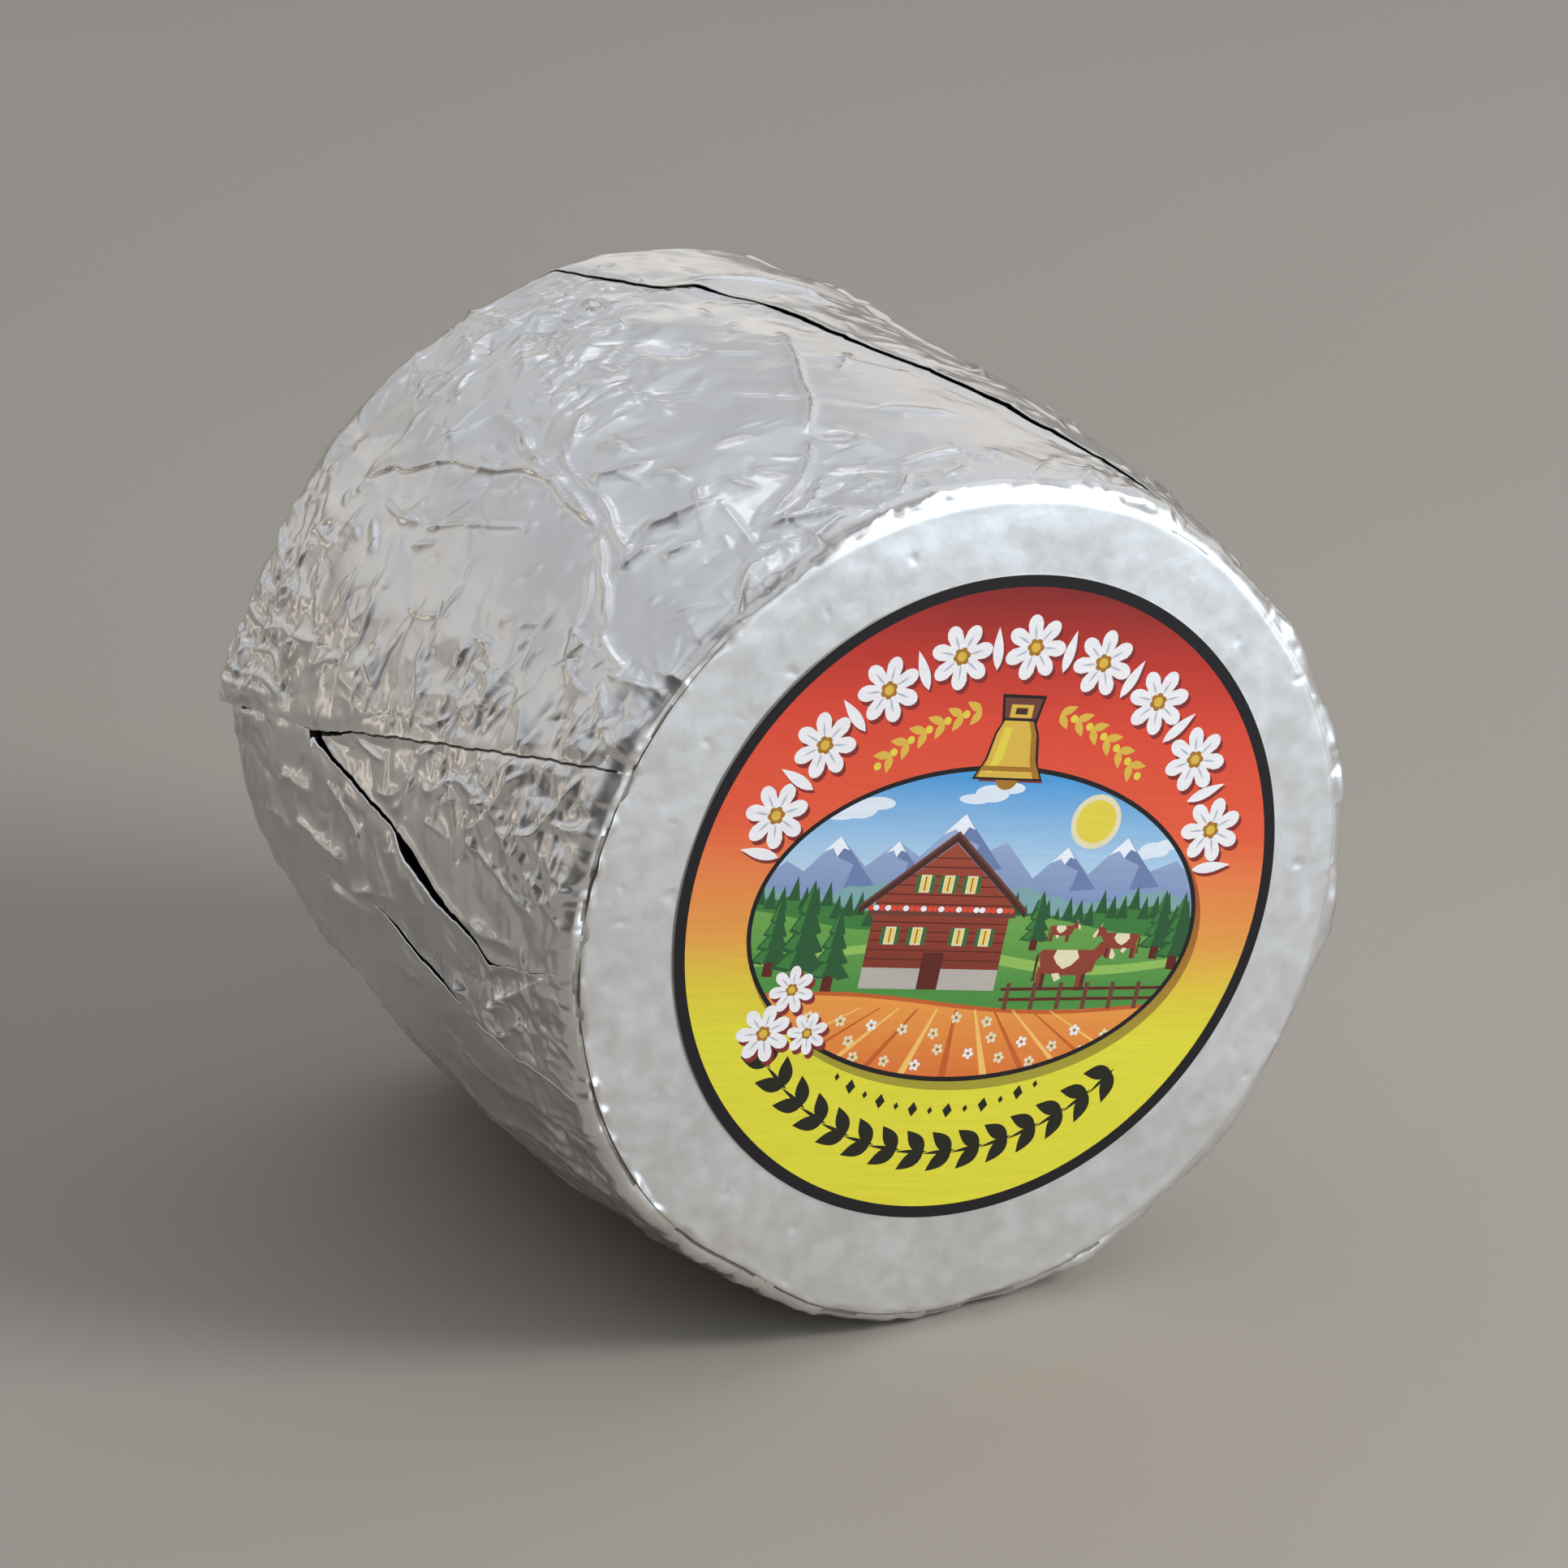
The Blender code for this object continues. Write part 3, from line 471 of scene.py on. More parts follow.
class Relief:
    """A map of heights over the unrolled side, in mm."""

    def __init__(self):
        self.columns = round(ROUND / MAP_CELL)
        self.rows = round(MAP_END / MAP_CELL) + 1
        self.cell_x = ROUND / self.columns
        self.heights = np.zeros((self.rows, self.columns))

    def window(self, low, high):
        """The map's rows and columns within a box, and their x and y."""
        left, right = int(np.floor(low[0] / self.cell_x)), int(np.ceil(high[0] / self.cell_x))
        columns = np.arange(left, right + 1)
        first, last = int(max(low[1] / MAP_CELL, 0)), int(min(high[1] / MAP_CELL + 2, self.rows))
        rows = np.arange(first, max(last, first))
        x, y = np.meshgrid(columns * self.cell_x, rows * MAP_CELL)
        return np.ix_(rows, columns % self.columns), x, y

    def press(self, route, height, width, steep):
        """A fold along a route: a crest whose flanks fall away over two widths, steeply on the right."""
        reach = 4 * max(width, steep)
        cells, x, y = self.window(route.min(axis=0) - reach, route.max(axis=0) + reach)
        if not x.size:
            return
        steps = np.hypot(*np.diff(route, axis=0).T)
        reached = np.concatenate([[0], np.cumsum(steps)])
        nearest = np.full(x.shape, 1e9)
        along, sideways = np.zeros(x.shape), np.zeros(x.shape)
        for number, (start, end) in enumerate(zip(route, route[1:])):
            dx, dy = end - start
            share = ((x - start[0]) * dx + (y - start[1]) * dy) / max(steps[number] ** 2, 1e-9)
            share = np.clip(share, 0, 1)
            away = np.hypot(x - start[0] - share * dx, y - start[1] - share * dy)
            nearer = away < nearest
            nearest[nearer] = away[nearer]
            along[nearer] = reached[number] + (share * steps[number])[nearer]
            left = (dx * (y - start[1]) - dy * (x - start[0])) / max(steps[number], 1e-9)
            sideways[nearer] = left[nearer]
        ends = np.minimum(along, reached[-1] - along) / max(min(0.35 * reached[-1], 3.0), 0.01)
        flank = steep + (width - steep) * (0.5 + 0.5 * np.tanh(sideways / 0.15))
        away = np.sqrt(nearest ** 2 + CREST_ROUNDING ** 2) - CREST_ROUNDING
        crest = np.exp(-away / flank)
        fade = np.clip(1 - nearest / reach, 0, 1)
        self.heights[cells] += height * crest * fade * (0.1 + 0.9 * soft_step(ends))

    def ripple(self, middle, angle, reach, width, spacing, height):
        """A patch of fine parallel wrinkles."""
        size = max(reach, width) * 2
        cells, x, y = self.window(np.array(middle) - size, np.array(middle) + size)
        if not x.size:
            return
        along = (x - middle[0]) * cos(angle) + (y - middle[1]) * sin(angle)
        across = (y - middle[1]) * cos(angle) - (x - middle[0]) * sin(angle)
        bend = across + 0.04 * along ** 2 / reach
        wave = 0.6 - np.abs(np.sin(pi * bend / spacing))
        self.heights[cells] += height * wave * np.exp(-(along / reach) ** 2 - (across / width) ** 2)

    def fill(self, start, second, third):
        """A flat triangle between three places, each with its height."""
        low = np.minimum(np.minimum(start, second), third)
        high = np.maximum(np.maximum(start, second), third)
        cells, x, y = self.window(low[:2], high[:2])
        u, v = second - start, third - start
        area = u[0] * v[1] - u[1] * v[0]
        if not x.size or abs(area) < 1e-9:
            return
        x, y = x - start[0], y - start[1]
        share_u, share_v = (x * v[1] - y * v[0]) / area, (y * u[0] - x * u[1]) / area
        within = (share_u > -1e-6) & (share_v > -1e-6) & (share_u + share_v < 1 + 1e-6)
        level = start[2] + share_u * u[2] + share_v * v[2]
        self.heights[cells] = np.where(within, level, self.heights[cells])

    def at(self, turn, station):
        """The height at each place, smoothly between the map's cells."""
        x = (np.radians(turn) * MIDDLE_RADIUS / self.cell_x) % self.columns
        y = np.clip(station / MAP_CELL, 0, self.rows - 1.001)
        column, row = np.floor(x).astype(int), np.floor(y).astype(int)
        share_x, share_y = x - column, y - row
        column, after = column % self.columns, (column + 1) % self.columns
        above = self.heights[row, column] * (1 - share_x) + self.heights[row, after] * share_x
        below = self.heights[row + 1, column] * (1 - share_x) + self.heights[row + 1, after] * share_x
        return above * (1 - share_y) + below * share_y


def crowding(x, y):
    """How thickly small crumples lie at an unrolled place, from 0 to 1."""
    turn = np.degrees(x / MIDDLE_RADIUS)

    def near(middle, station, reach_round, reach_back):
        off = turned_difference(turn, middle)
        return np.exp(-(off / reach_round) ** 2 - ((y - station) / reach_back) ** 2)

    thick = 0.28
    for *patch, strength in CROWDED:
        thick = thick + strength * near(*patch)
    for patch in CALM:
        thick = thick * (1 - 0.85 * near(*patch))
    return np.minimum(thick, 1.0)


def scattered(near, far, rng):
    """Places over the unrolled side, far apart where the foil is calm and near where small crumples crowd.

    With them come how thickly the crumples lie at each, and how far off the next place may be.
    """
    count = int(1.6 * ROUND * MAP_END / near ** 2)
    tries = rng.uniform((0, -far), (ROUND, MAP_END + far), (count, 2))
    thick = crowding(tries[:, 0], tries[:, 1])
    apart = far + (near - far) * thick
    spots, kept = np.empty_like(tries), []
    for number, (spot, reach) in enumerate(zip(tries, apart)):
        placed = spots[:len(kept)]
        across = np.abs(placed[:, 0] - spot[0])
        across = np.minimum(across, ROUND - across)
        if not (across ** 2 + (placed[:, 1] - spot[1]) ** 2 < reach ** 2).any():
            spots[len(kept)] = spot
            kept.append(number)
    return spots[:len(kept)], thick[kept], apart[kept]


def panels(near, far, slopes, seed):
    """Flat panels between straight creases: large and level where the foil is calm, small where it crowds."""
    rng = np.random.default_rng(seed)
    spots, thick, apart = scattered(near, far, rng)
    levels = rng.uniform(-1, 1, len(spots)) * apart * (slopes[0] + (slopes[1] - slopes[0]) * thick)
    before, after = spots[:, 0] > ROUND - 3 * far, spots[:, 0] < 3 * far
    spots = np.concatenate([spots, spots[before] - (ROUND, 0), spots[after] + (ROUND, 0)])
    levels = np.concatenate([levels, levels[before], levels[after]])
    corners, _, faces, sources, _, _ = delaunay_2d_cdt([Vector(spot) for spot in spots], [], [], 0, 1e-6)
    corners = np.array([(*corner, levels[source[0]]) for corner, source in zip(corners, sources)])
    relief = Relief()
    for face in faces:
        start, second, third = corners[list(face)]
        if -1 < (start[0] + second[0] + third[0]) / 3 < ROUND + 1:
            relief.fill(start, second, third)
    for axis in (0, 1):
        beside = np.roll(relief.heights, 1, axis) + np.roll(relief.heights, -1, axis)
        relief.heights = 0.5 * relief.heights + 0.25 * beside
    return relief


def pressed_folds():
    """The folds that were placed one by one."""
    relief = Relief()
    for height, width, steep, *routes in CREASES:
        for points in routes:
            relief.press(smooth_route(points), height, width, steep)
    return relief


def small_folds(relief, rng):
    """Short folds all over the side, which crowd where the foil is crumpled."""
    for _ in range(CRUMPLE_TRIES):
        x, y = rng.uniform(-ROUND / 2, ROUND / 2), rng.uniform(1, MAP_END)
        thick = float(crowding(x, y))
        if rng.uniform() > thick:
            continue
        length = rng.uniform(1.5, 4.5) + rng.exponential(2.5)
        angle = rng.uniform(0, 2 * pi)
        if LAID_ROUND[0] < degrees(x / MIDDLE_RADIUS) < LAID_ROUND[1] and rng.uniform() < 0.65:
            angle = rng.normal(0, 0.3) + pi * rng.integers(2)
        bend = rng.normal(0, 0.3)
        ends = np.array([cos(angle), sin(angle)]), np.array([cos(angle + bend), sin(angle + bend)])
        middle = np.array([x, y])
        route = np.array([middle - ends[0] * length / 2, middle, middle + ends[1] * length / 2])
        width = rng.uniform(0.35, 0.9)
        height = width * (0.75 + 0.6 * thick) * rng.uniform(0.1, 0.34) * rng.choice([1, 1, -1])
        relief.press(route, height, width, rng.uniform(0.25, 0.45))


def rim_folds(relief, rng):
    """Short folds over the labelled end's rim, stronger low on the left."""
    for turn in np.concatenate([np.arange(0, 360, 3.3), np.arange(48, 112, 2.3)]):
        strong = 0.25 + 0.75 * soft_step(1.6 * cos(radians(turn - 125)) + 0.5)
        turns = turn + rng.normal(0, 1.2) + np.cumsum(rng.normal(0, 1.8, 3))
        start = rng.choice([-3.5, -1.5, 0])
        stations = start, start + rng.uniform(2, 4), start + rng.uniform(5, 11)
        height = strong * rng.uniform(0.06, 0.22) * rng.choice([1, 1, -1])
        route = smooth_route([*zip(turns, stations)])
        relief.press(route, height, rng.uniform(0.5, 1.2), rng.uniform(0.25, 0.45))


def wrinkles(relief, rng):
    """Patches of fine parallel wrinkles."""
    for _ in range(WRINKLE_TRIES):
        x, y = rng.uniform(-ROUND / 2, ROUND / 2), rng.uniform(1, MAP_END)
        if rng.uniform() > 0.3 + crowding(x, y):
            continue
        relief.ripple((x, y), rng.uniform(0, pi), rng.uniform(1.5, 4.5), rng.uniform(1, 3),
                      rng.uniform(0.7, 1.3), rng.uniform(0.02, 0.05))


def crumples(seed):
    """The random small folds and fine wrinkles between the placed ones."""
    relief, rng = Relief(), np.random.default_rng(seed)
    for fill in (small_folds, rim_folds, wrinkles):
        fill(relief, rng)
    return relief


FOLDS = pressed_folds()
CRUMPLES = crumples(seed=4)
PANELS = [
    panels(near=5.0, far=11.0, slopes=(0.04, 0.09), seed=21),
    panels(near=1.4, far=5.0, slopes=(0.025, 0.15), seed=22),
]
SOFT = SmoothNoise(seed=11)


def lumps(places, *layers):
    """Soft lumps, the sum of layers of a height and a size each."""
    return sum(height * SOFT.at(places, size) for height, size in layers)


def pleats(turn, station):
    """The pleats gathered on the plain end, which start on its rim."""
    radius = np.interp(station, STATIONS, RADII)
    inwards = np.where(station > BACK_START, 1 - radius / (END_RADIUS - BACK_ROUNDING), 0)
    swirl = turn + SWIRL * inwards + 9 * np.sin(np.radians(turn * 3))
    place = swirl / 360 * PLEATS
    share = place % 1
    size = 0.65 + 0.35 * np.sin(np.floor(place) * 2.4)
    crest = (1 - share) * soft_step(share * 9)
    on_end = soft_step((station - LENGTH + 3) / 9)
    near_middle = soft_step((radius - 3) / 18)
    hollow = 0.6 * (1 - soft_step(radius / 40)) * (station > BACK_START)
    return crest * size * on_end * near_middle - hollow


def foil_height(turn, station, shift=0.0):
    """How far the crumpled foil stands off the smooth wheel, without its sheets' edges."""
    places = drum_places(turn, station)
    soft = lumps(places, (0.16, 9.0), (0.06, 4.0))
    ragged = 0.7 * SOFT.at(places * (1, 0, 1) + 70, 1.6)
    low = soft_step(1.5 * np.cos(np.radians(turn - 115)) + 0.4)
    past_rim = soft_step((station + 0.3 + 1.2 * low - ragged) / 1.2)
    lift = FOLDS.at(turn, station) + CRUMPLES.at(turn, station) + soft
    for relief in PANELS:
        lift = lift + relief.at(turn + shift, station) * (1 + 0.8 * np.exp(-(station / 3) ** 2))
    return lift * past_rim + face_height(places, station) * (1 - past_rim) + pleats(turn, station)


def face_height(places, station):
    """The slight unevenness of the foil on the labelled end, with small dings, and dents round its rim."""
    dings = np.maximum(SOFT.at(places + 50, 2.2) - 0.7, 0) * 0.4
    on_rim = np.exp(-((station - 0.3) / 2.4) ** 2)
    dents = lumps(places + 20, (0.10, 6.5)) + lumps(places + 10, (0.02, 2.4))
    rounded = 0.06 * soft_step((station - FRONT_START + 4) / 4)
    return lumps(places, (0.11, 9.0), (0.03, 3.2)) - dings + on_rim * dents - rounded


def new_object(name, data, materials=()):
    """An object in the scene, made from its mesh, lamp or camera."""
    for material in materials:
        data.materials.append(material)
    obj = bpy.data.objects.new(name, data)
    bpy.context.scene.collection.objects.link(obj)
    return obj


def mesh_of(form, name):
    """A finished form as a mesh."""
    mesh = bpy.data.meshes.new(name)
    form.to_mesh(mesh)
    form.free()
    return mesh


def grid_piece(name, places, materials, ring=False, inks=None):
    """A smooth mesh through a grid of places: rows go back, columns go round towards the left."""
    rows, columns = places.shape[:2]
    mesh = bpy.data.meshes.new(name)
    mesh.vertices.add(rows * columns)
    mesh.vertices.foreach_set("co", places.reshape(-1).astype(np.float32))
    number = np.arange(rows * columns).reshape(rows, columns)
    beside = np.roll(number, -1, axis=1) if ring else number[:, 1:]
    here = number if ring else number[:, :-1]
    faces = np.stack([here[:-1], here[1:], beside[1:], beside[:-1]], axis=-1).reshape(-1, 4)
    mesh.loops.add(faces.size)
    mesh.loops.foreach_set("vertex_index", faces.reshape(-1).astype(np.int32))
    mesh.polygons.add(len(faces))
    mesh.polygons.foreach_set("loop_start", np.arange(0, faces.size, 4, dtype=np.int32))
    if inks is not None:
        mesh.polygons.foreach_set("material_index", inks.reshape(-1).astype(np.int32))
    mesh.update(calc_edges=True)
    mesh.validate()
    mesh.shade_smooth()
    return new_object(name, mesh, materials)


def split_grid(name, places, materials, inks, parts):
    """A grid in pieces, one behind the other, which shade as one."""
    normals = np.cross(np.gradient(places, axis=0), np.gradient(places, axis=1))
    normals /= np.linalg.norm(normals, axis=-1, keepdims=True) + 1e-12
    cuts = np.linspace(0, len(places) - 1, parts + 1).astype(int)
    pieces = []
    for number, (first, last) in enumerate(zip(cuts, cuts[1:])):
        part = "%s_%d" % (name, number + 1)
        pieces.append(grid_piece(part, places[first:last + 1], materials, inks=inks[first:last]))
        pieces[-1].data.normals_split_custom_set_from_vertices(normals[first:last + 1].reshape(-1, 3))
    return pieces


class Seam:
    """A line where one sheet's free edge lies over the next sheet, and how wide it stands open.

    The sheet after it, at larger turns, is the one on top where after_on_top is 1. The free edge stands
    up by stands more than its gap makes it, and lies down again over reach. The sheet under it is painted
    with shade for line and three quarters of the gap, and then rises to a lip.
    """

    def __init__(self, route, gaps, after_on_top=((0, 0),), stands=((0, 0),), line=0.25, lip=0.2,
                 reach=14.0, turned=0):
        self.route, self.gaps, self.after_on_top, self.stands = route, gaps, after_on_top, stands
        self.line, self.lip, self.reach, self.turned = line, lip, reach, turned

    def turns(self, stations):
        """The seam's turn at each station, with the small waver of torn foil."""
        route = smooth_route(self.route)
        reached = np.maximum.accumulate(route[:, 1])
        turn = np.interp(stations, reached, np.degrees(route[:, 0] / MIDDLE_RADIUS))
        seed = self.route[0][0] * 0.37
        waver = 0.06 * np.sin(stations * 1.7 + seed) + 0.03 * np.sin(stations * 3.9 + 2 * seed)
        waver = waver + 0.09 * np.sin(stations * 0.61 + 3 * seed)
        return turn + np.degrees(waver / MIDDLE_RADIUS) + self.turned

    def widths(self, stations):
        """How wide the seam stands open at each station."""
        return np.interp(stations, *zip(*self.gaps))

    def on_top(self, stations, before):
        """How far the sheet before or after the seam is the one on top."""
        share = np.interp(stations, *zip(*self.after_on_top))
        return 1 - share if before else share


# How far a sheet's hidden columns reach past a seam under the next sheet, in mm
TUCKED = np.array([0.25, 0.5, 0.8, 1.2, 1.6, 2.2, 3.0, 4.0, 5.0, 6.0])
# The columns beside a seam, which keep its line crisp, in mm
NEAR = np.array([0, 0.12, 0.24, 0.36, 0.5])
# A free edge's rounded hem: outwards past the edge, and down, in mm for an edge that stands open
HEM_OUT = np.array([0.05, 0.11, 0.16, 0.19, 0.18, 0.12, -0.1, -0.4, -0.9, -1.4])
HEM_DOWN = np.array([0.01, 0.04, 0.1, 0.2, 0.32, 0.44, 0.52, 0.57, 0.6, 0.62])
CELL = 0.26
# A face's material: foil, painted shade under an edge that lies close, or painted deep shadow in an open gap
PAINTED_SHADE, PAINTED_DEEP_SHADOW = 1, 2
# How wide a seam stands open, in mm, from where it shows painted shade, and from where it shows painted deep
# shadow
SHADE_GAP, DARK_GAP = 0.01, 0.08
# The stations, on the front rim's rounding, where the side's sheets begin and where the end's foil stops
SHEETS_START = -1.5
FACE_END = -0.8


def sheet_columns(first, final, cell):
    """The turn of each of a sheet's columns, by row: close beside its seams, and hidden beyond them."""
    count = int(np.radians((final - first).max()) * MIDDLE_RADIUS / cell)
    tucked = np.degrees(TUCKED / MIDDLE_RADIUS)
    near = np.degrees(NEAR / MIDDLE_RADIUS)
    near = near * np.clip((final - first) / (2.4 * near[-1]), 0.02, 1)
    inner = first + near[:, -1:] + (final - first - 2 * near[:, -1:]) * np.linspace(0, 1, count)[1:-1]
    return np.concatenate(
        [first - tucked[::-1], first + near, inner, final - near[:, ::-1], final + tucked], axis=1)


def seam_bend(seam, before, inside, stations, lift, painted_shade_inks):
    """The foil's height with a seam's bend: its free edge stands up, and a sheet under one sinks."""
    inside = np.radians(inside) * MIDDLE_RADIUS
    flattened = soft_step((stations + 0.5) / 7)
    wide = seam.widths(stations)
    on_top = seam.on_top(stations, before)
    stands = np.interp(stations, *zip(*seam.stands))
    raised = (0.2 + 0.4 * wide + stands) * flattened * soft_step(1 - inside / seam.reach) ** 1.5
    calm = 0.35 + 0.65 * soft_step(inside / 1.8)
    sunk = (0.25 + 1.2 * wide) * (0.2 + 0.8 * flattened) + 0.6 * soft_step(-inside / 2) * flattened
    risen = soft_step((inside + 0.15) / (0.35 + 0.9 * wide))
    rest = 0.2 + 0.8 * soft_step(inside / (1.5 + 3 * wide))
    slot = seam.line + 0.75 * wide
    bank = seam.lip * np.minimum(wide, 1.2) * np.exp(-np.maximum(inside - slot, 0) / 0.9) * risen
    # Faces in the open gap are painted with shade, and with deep shadow where it stands wider
    open_here = (inside < slot) & (on_top < 0.02) & (stations > 0.7)
    painted_shade_inks[open_here & (wide > SHADE_GAP)] = PAINTED_SHADE
    painted_shade_inks[open_here & (wide > DARK_GAP)] = PAINTED_DEEP_SHADOW
    return on_top * (lift * calm + raised) + (1 - on_top) * (lift * rest - sunk * (1 - risen) + bank)


def turn_hem(seam, before, line, stations, turn, lift, painted_shade_inks):
    """Rolls the hidden columns under, where the sheet's edge at a seam is the one on top."""
    hidden = len(TUCKED)
    sign = 1 if before else -1
    wide = seam.widths(stations)
    size = 0.35 + 0.4 * wide
    edge = -hidden - 1 if before else hidden
    hem_turn = line + sign * np.degrees(HEM_OUT * size / MIDDLE_RADIUS)
    hem_lift = lift[:, edge, None] - HEM_DOWN * size
    columns = slice(-hidden, None) if before else slice(hidden - 1, None, -1)
    on_top = seam.on_top(stations, before)
    turn[:, columns] = on_top * hem_turn + (1 - on_top) * turn[:, columns]
    lift[:, columns] = on_top * hem_lift + (1 - on_top) * lift[:, columns]
    # The rolled-under hem columns that may show are painted with shade, and with deep shadow where the gap
    # stands open
    under = (on_top > 0.95) & (np.arange(hidden) > np.where(wide > 0.3, 2, 4))
    painted_shade_inks[:, columns] = np.where(under, np.where(wide > DARK_GAP, PAINTED_DEEP_SHADOW, PAINTED_SHADE), painted_shade_inks[:, columns])


def foil_sheet(name, start, end, materials, last=MAP_END, cell=CELL, shift=0.0, parts=1):
    """One sheet of foil between two seams: at each it has a free edge, or goes on under the other sheet."""
    stations = np.arange(SHEETS_START, last, cell)[:, None]
    first, final = start.turns(stations), end.turns(stations)
    turn = sheet_columns(first, final, cell)
    lift = foil_height(turn, stations, shift)
    painted_shade_inks = np.zeros(turn.shape, int)
    lift = seam_bend(start, False, turn - first, stations, lift, painted_shade_inks)
    lift = seam_bend(end, True, final - turn, stations, lift, painted_shade_inks)

    # The line of painted shade along the labelled end's foil, which is broken and lies mostly low on the left
    low = soft_step(1.6 * np.cos(np.radians(turn - 122)) + 0.1)
    painted_shade_reach = -1.1 + low * (0.55 + 0.6 * SOFT.at(drum_places(turn, 0 * stations) + 30, 2.8))
    lift -= 0.25 * low * np.exp(-((stations + 0.6) / 0.5) ** 2)
    painted_shade_inks[(stations < painted_shade_reach) & (painted_shade_inks == 0)] = PAINTED_SHADE

    # The two ends go on under the foil of the wheel's ends
    lift -= 0.9 * soft_step((stations - 97) / 5)
    lift[:2] -= 0.1
    turn_hem(start, False, first, stations, turn, lift, painted_shade_inks)
    turn_hem(end, True, final, stations, turn, lift, painted_shade_inks)
    inks = np.minimum(painted_shade_inks[:-1, :-1], painted_shade_inks[:-1, 1:])
    places = on_wheel(turn, stations, lift)
    if parts > 1:
        return split_grid(name, places, materials, inks, parts)
    return [grid_piece(name, places, materials, inks=inks)]


def foil_front(materials):
    """The smooth foil over the labelled end, which meets the side's sheets on the rim's rounding."""
    turn = np.arange(FRONT_COLUMNS) * 360 / FRONT_COLUMNS
    station = np.concatenate([
        np.linspace(FRONT_MIDDLE + 0.05, FRONT_MIDDLE + 35, 10),
        np.arange(FRONT_MIDDLE + 35.6, FRONT_START - 3, 0.5), np.arange(FRONT_START - 3, FACE_END, 0.25),
        [FACE_END],
    ])[:, None]
    lift = foil_height(turn, station) + 0.02
    lift[-4:] -= np.array([0.004, 0.010, 0.018, 0.030])[:, None]
    return grid_piece("foil_front", on_wheel(turn, station, lift), materials, ring=True)


def foil_back(materials):
    """The pleated foil pressed down on the plain end, with its edge under the side's sheets."""
    turn = np.arange(BACK_COLUMNS) * 360 / BACK_COLUMNS
    station = np.concatenate([
        np.arange(LENGTH - 1, BACK_MIDDLE - 3, 0.6), np.linspace(BACK_MIDDLE - 3, BACK_MIDDLE - 0.05, 8),
    ])[:, None]
    places = drum_places(turn, station)
    fine = np.stack(np.broadcast_arrays(turn / 3.0 + 0.12 * station, station / 14, station * 0), axis=-1) + 90
    lift = lumps(places, (0.16, 9.0), (0.14, 3.0)) + 0.22 * np.abs(SOFT.at(fine, 1.0))
    lift = lift + pleats(turn, station) - 0.35 * (1 - soft_step((station - LENGTH) / 3))
    lift = lift - 0.9 * (1 - soft_step((station - LENGTH + 1) / 2))
    return grid_piece("foil_back", on_wheel(turn, station, lift), materials, ring=True)


def linear(code):
    """A colour written as six hex digits, as linear red, green and blue."""
    values = np.array([int(code[at:at + 2], 16) for at in (0, 2, 4)]) / 255
    return np.where(values <= 0.04045, values / 12.92, ((values + 0.055) / 1.055) ** 2.4)


class Nodes:
    """The nodes of a material or of the world, with short calls to add and join them."""

    def __init__(self, owner, shader="Principled BSDF", places="Object"):
        owner.use_nodes = True
        self.owner, self.tree = owner, owner.node_tree
        self.shader = self.tree.nodes[shader]
        self.places = self.add("ShaderNodeTexCoord").outputs[places]

    def add(self, kind, **settings):
        node = self.tree.nodes.new(kind)
        for name, value in settings.items():
            setattr(node, name, value)
        return node

    def join(self, source, target):
        self.tree.links.new(source, target)

    def axes(self):
        """The places' x, y and z."""
        node = self.add("ShaderNodeSeparateXYZ")
        self.join(self.places, node.inputs["Vector"])
        return node.outputs

    def mapped(self, kind="POINT", **values):
        """The places, turned and scaled."""
        node = self.add("ShaderNodeMapping", vector_type=kind)
        for name, value in values.items():
            node.inputs[name].default_value = value
        self.join(self.places, node.inputs["Vector"])
        return node.outputs["Vector"]

    def noise(self, scale, detail=2.0, places=None):
        """A noise over the places, or over places of its own."""
        node = self.add("ShaderNodeTexNoise")
        node.inputs["Scale"].default_value = scale
        node.inputs["Detail"].default_value = detail
        self.join(self.places if places is None else places, node.inputs["Vector"])
        return node.outputs["Fac"]

    def ramp(self, source, stops, interpolation="LINEAR"):
        """A colour by the source, through stops of a value and a colour each."""
        node = self.add("ShaderNodeValToRGB")
        node.color_ramp.interpolation = interpolation
        colours = node.color_ramp.elements
        while len(colours) < len(stops):
            colours.new(1.0)
        for element, (place, colour) in zip(colours, stops):
            element.position = place
            element.color = (*colour, 1)
        self.join(source, node.inputs["Fac"])
        return node.outputs["Color"]

    def patches(self, noise, colours):
        """A colour that drifts between two with a noise."""
        return self.ramp(noise, [(0.3, colours[0]), (0.7, colours[1])])

    def between(self, source, low, high, first=0.0, last=1.0):
        """The source, which runs from first to last, spread from low to high."""
        node = self.add("ShaderNodeMapRange")
        for name, value in (("From Min", first), ("From Max", last), ("To Min", low), ("To Max", high)):
            node.inputs[name].default_value = value
        self.join(source, node.inputs["Value"])
        return node.outputs["Result"]

    def product(self, first, second, more=None):
        """Two values multiplied, and a third one added if there is one. Each is a socket or a number."""
        node = self.add("ShaderNodeMath", operation="MULTIPLY" if more is None else "MULTIPLY_ADD")
        for number, value in enumerate((first, second, more)):
            if isinstance(value, float):
                node.inputs[number].default_value = value
            elif value is not None:
                self.join(value, node.inputs[number])
        return node.outputs["Value"]

    def bump(self, source, distance, strength):
        """Fine bumps on the shader's surface, by the source and up to a distance in metres."""
        node = self.add("ShaderNodeBump")
        node.inputs["Strength"].default_value = strength
        node.inputs["Distance"].default_value = distance
        self.join(source, node.inputs["Height"])
        self.join(node.outputs["Normal"], self.shader.inputs["Normal"])

    def fixed(self, **values):
        """Uniform values on the shader's own sockets."""
        for name, value in values.items():
            self.shader.inputs[name.replace("_", " ").title().replace("Ior", "IOR")].default_value = value


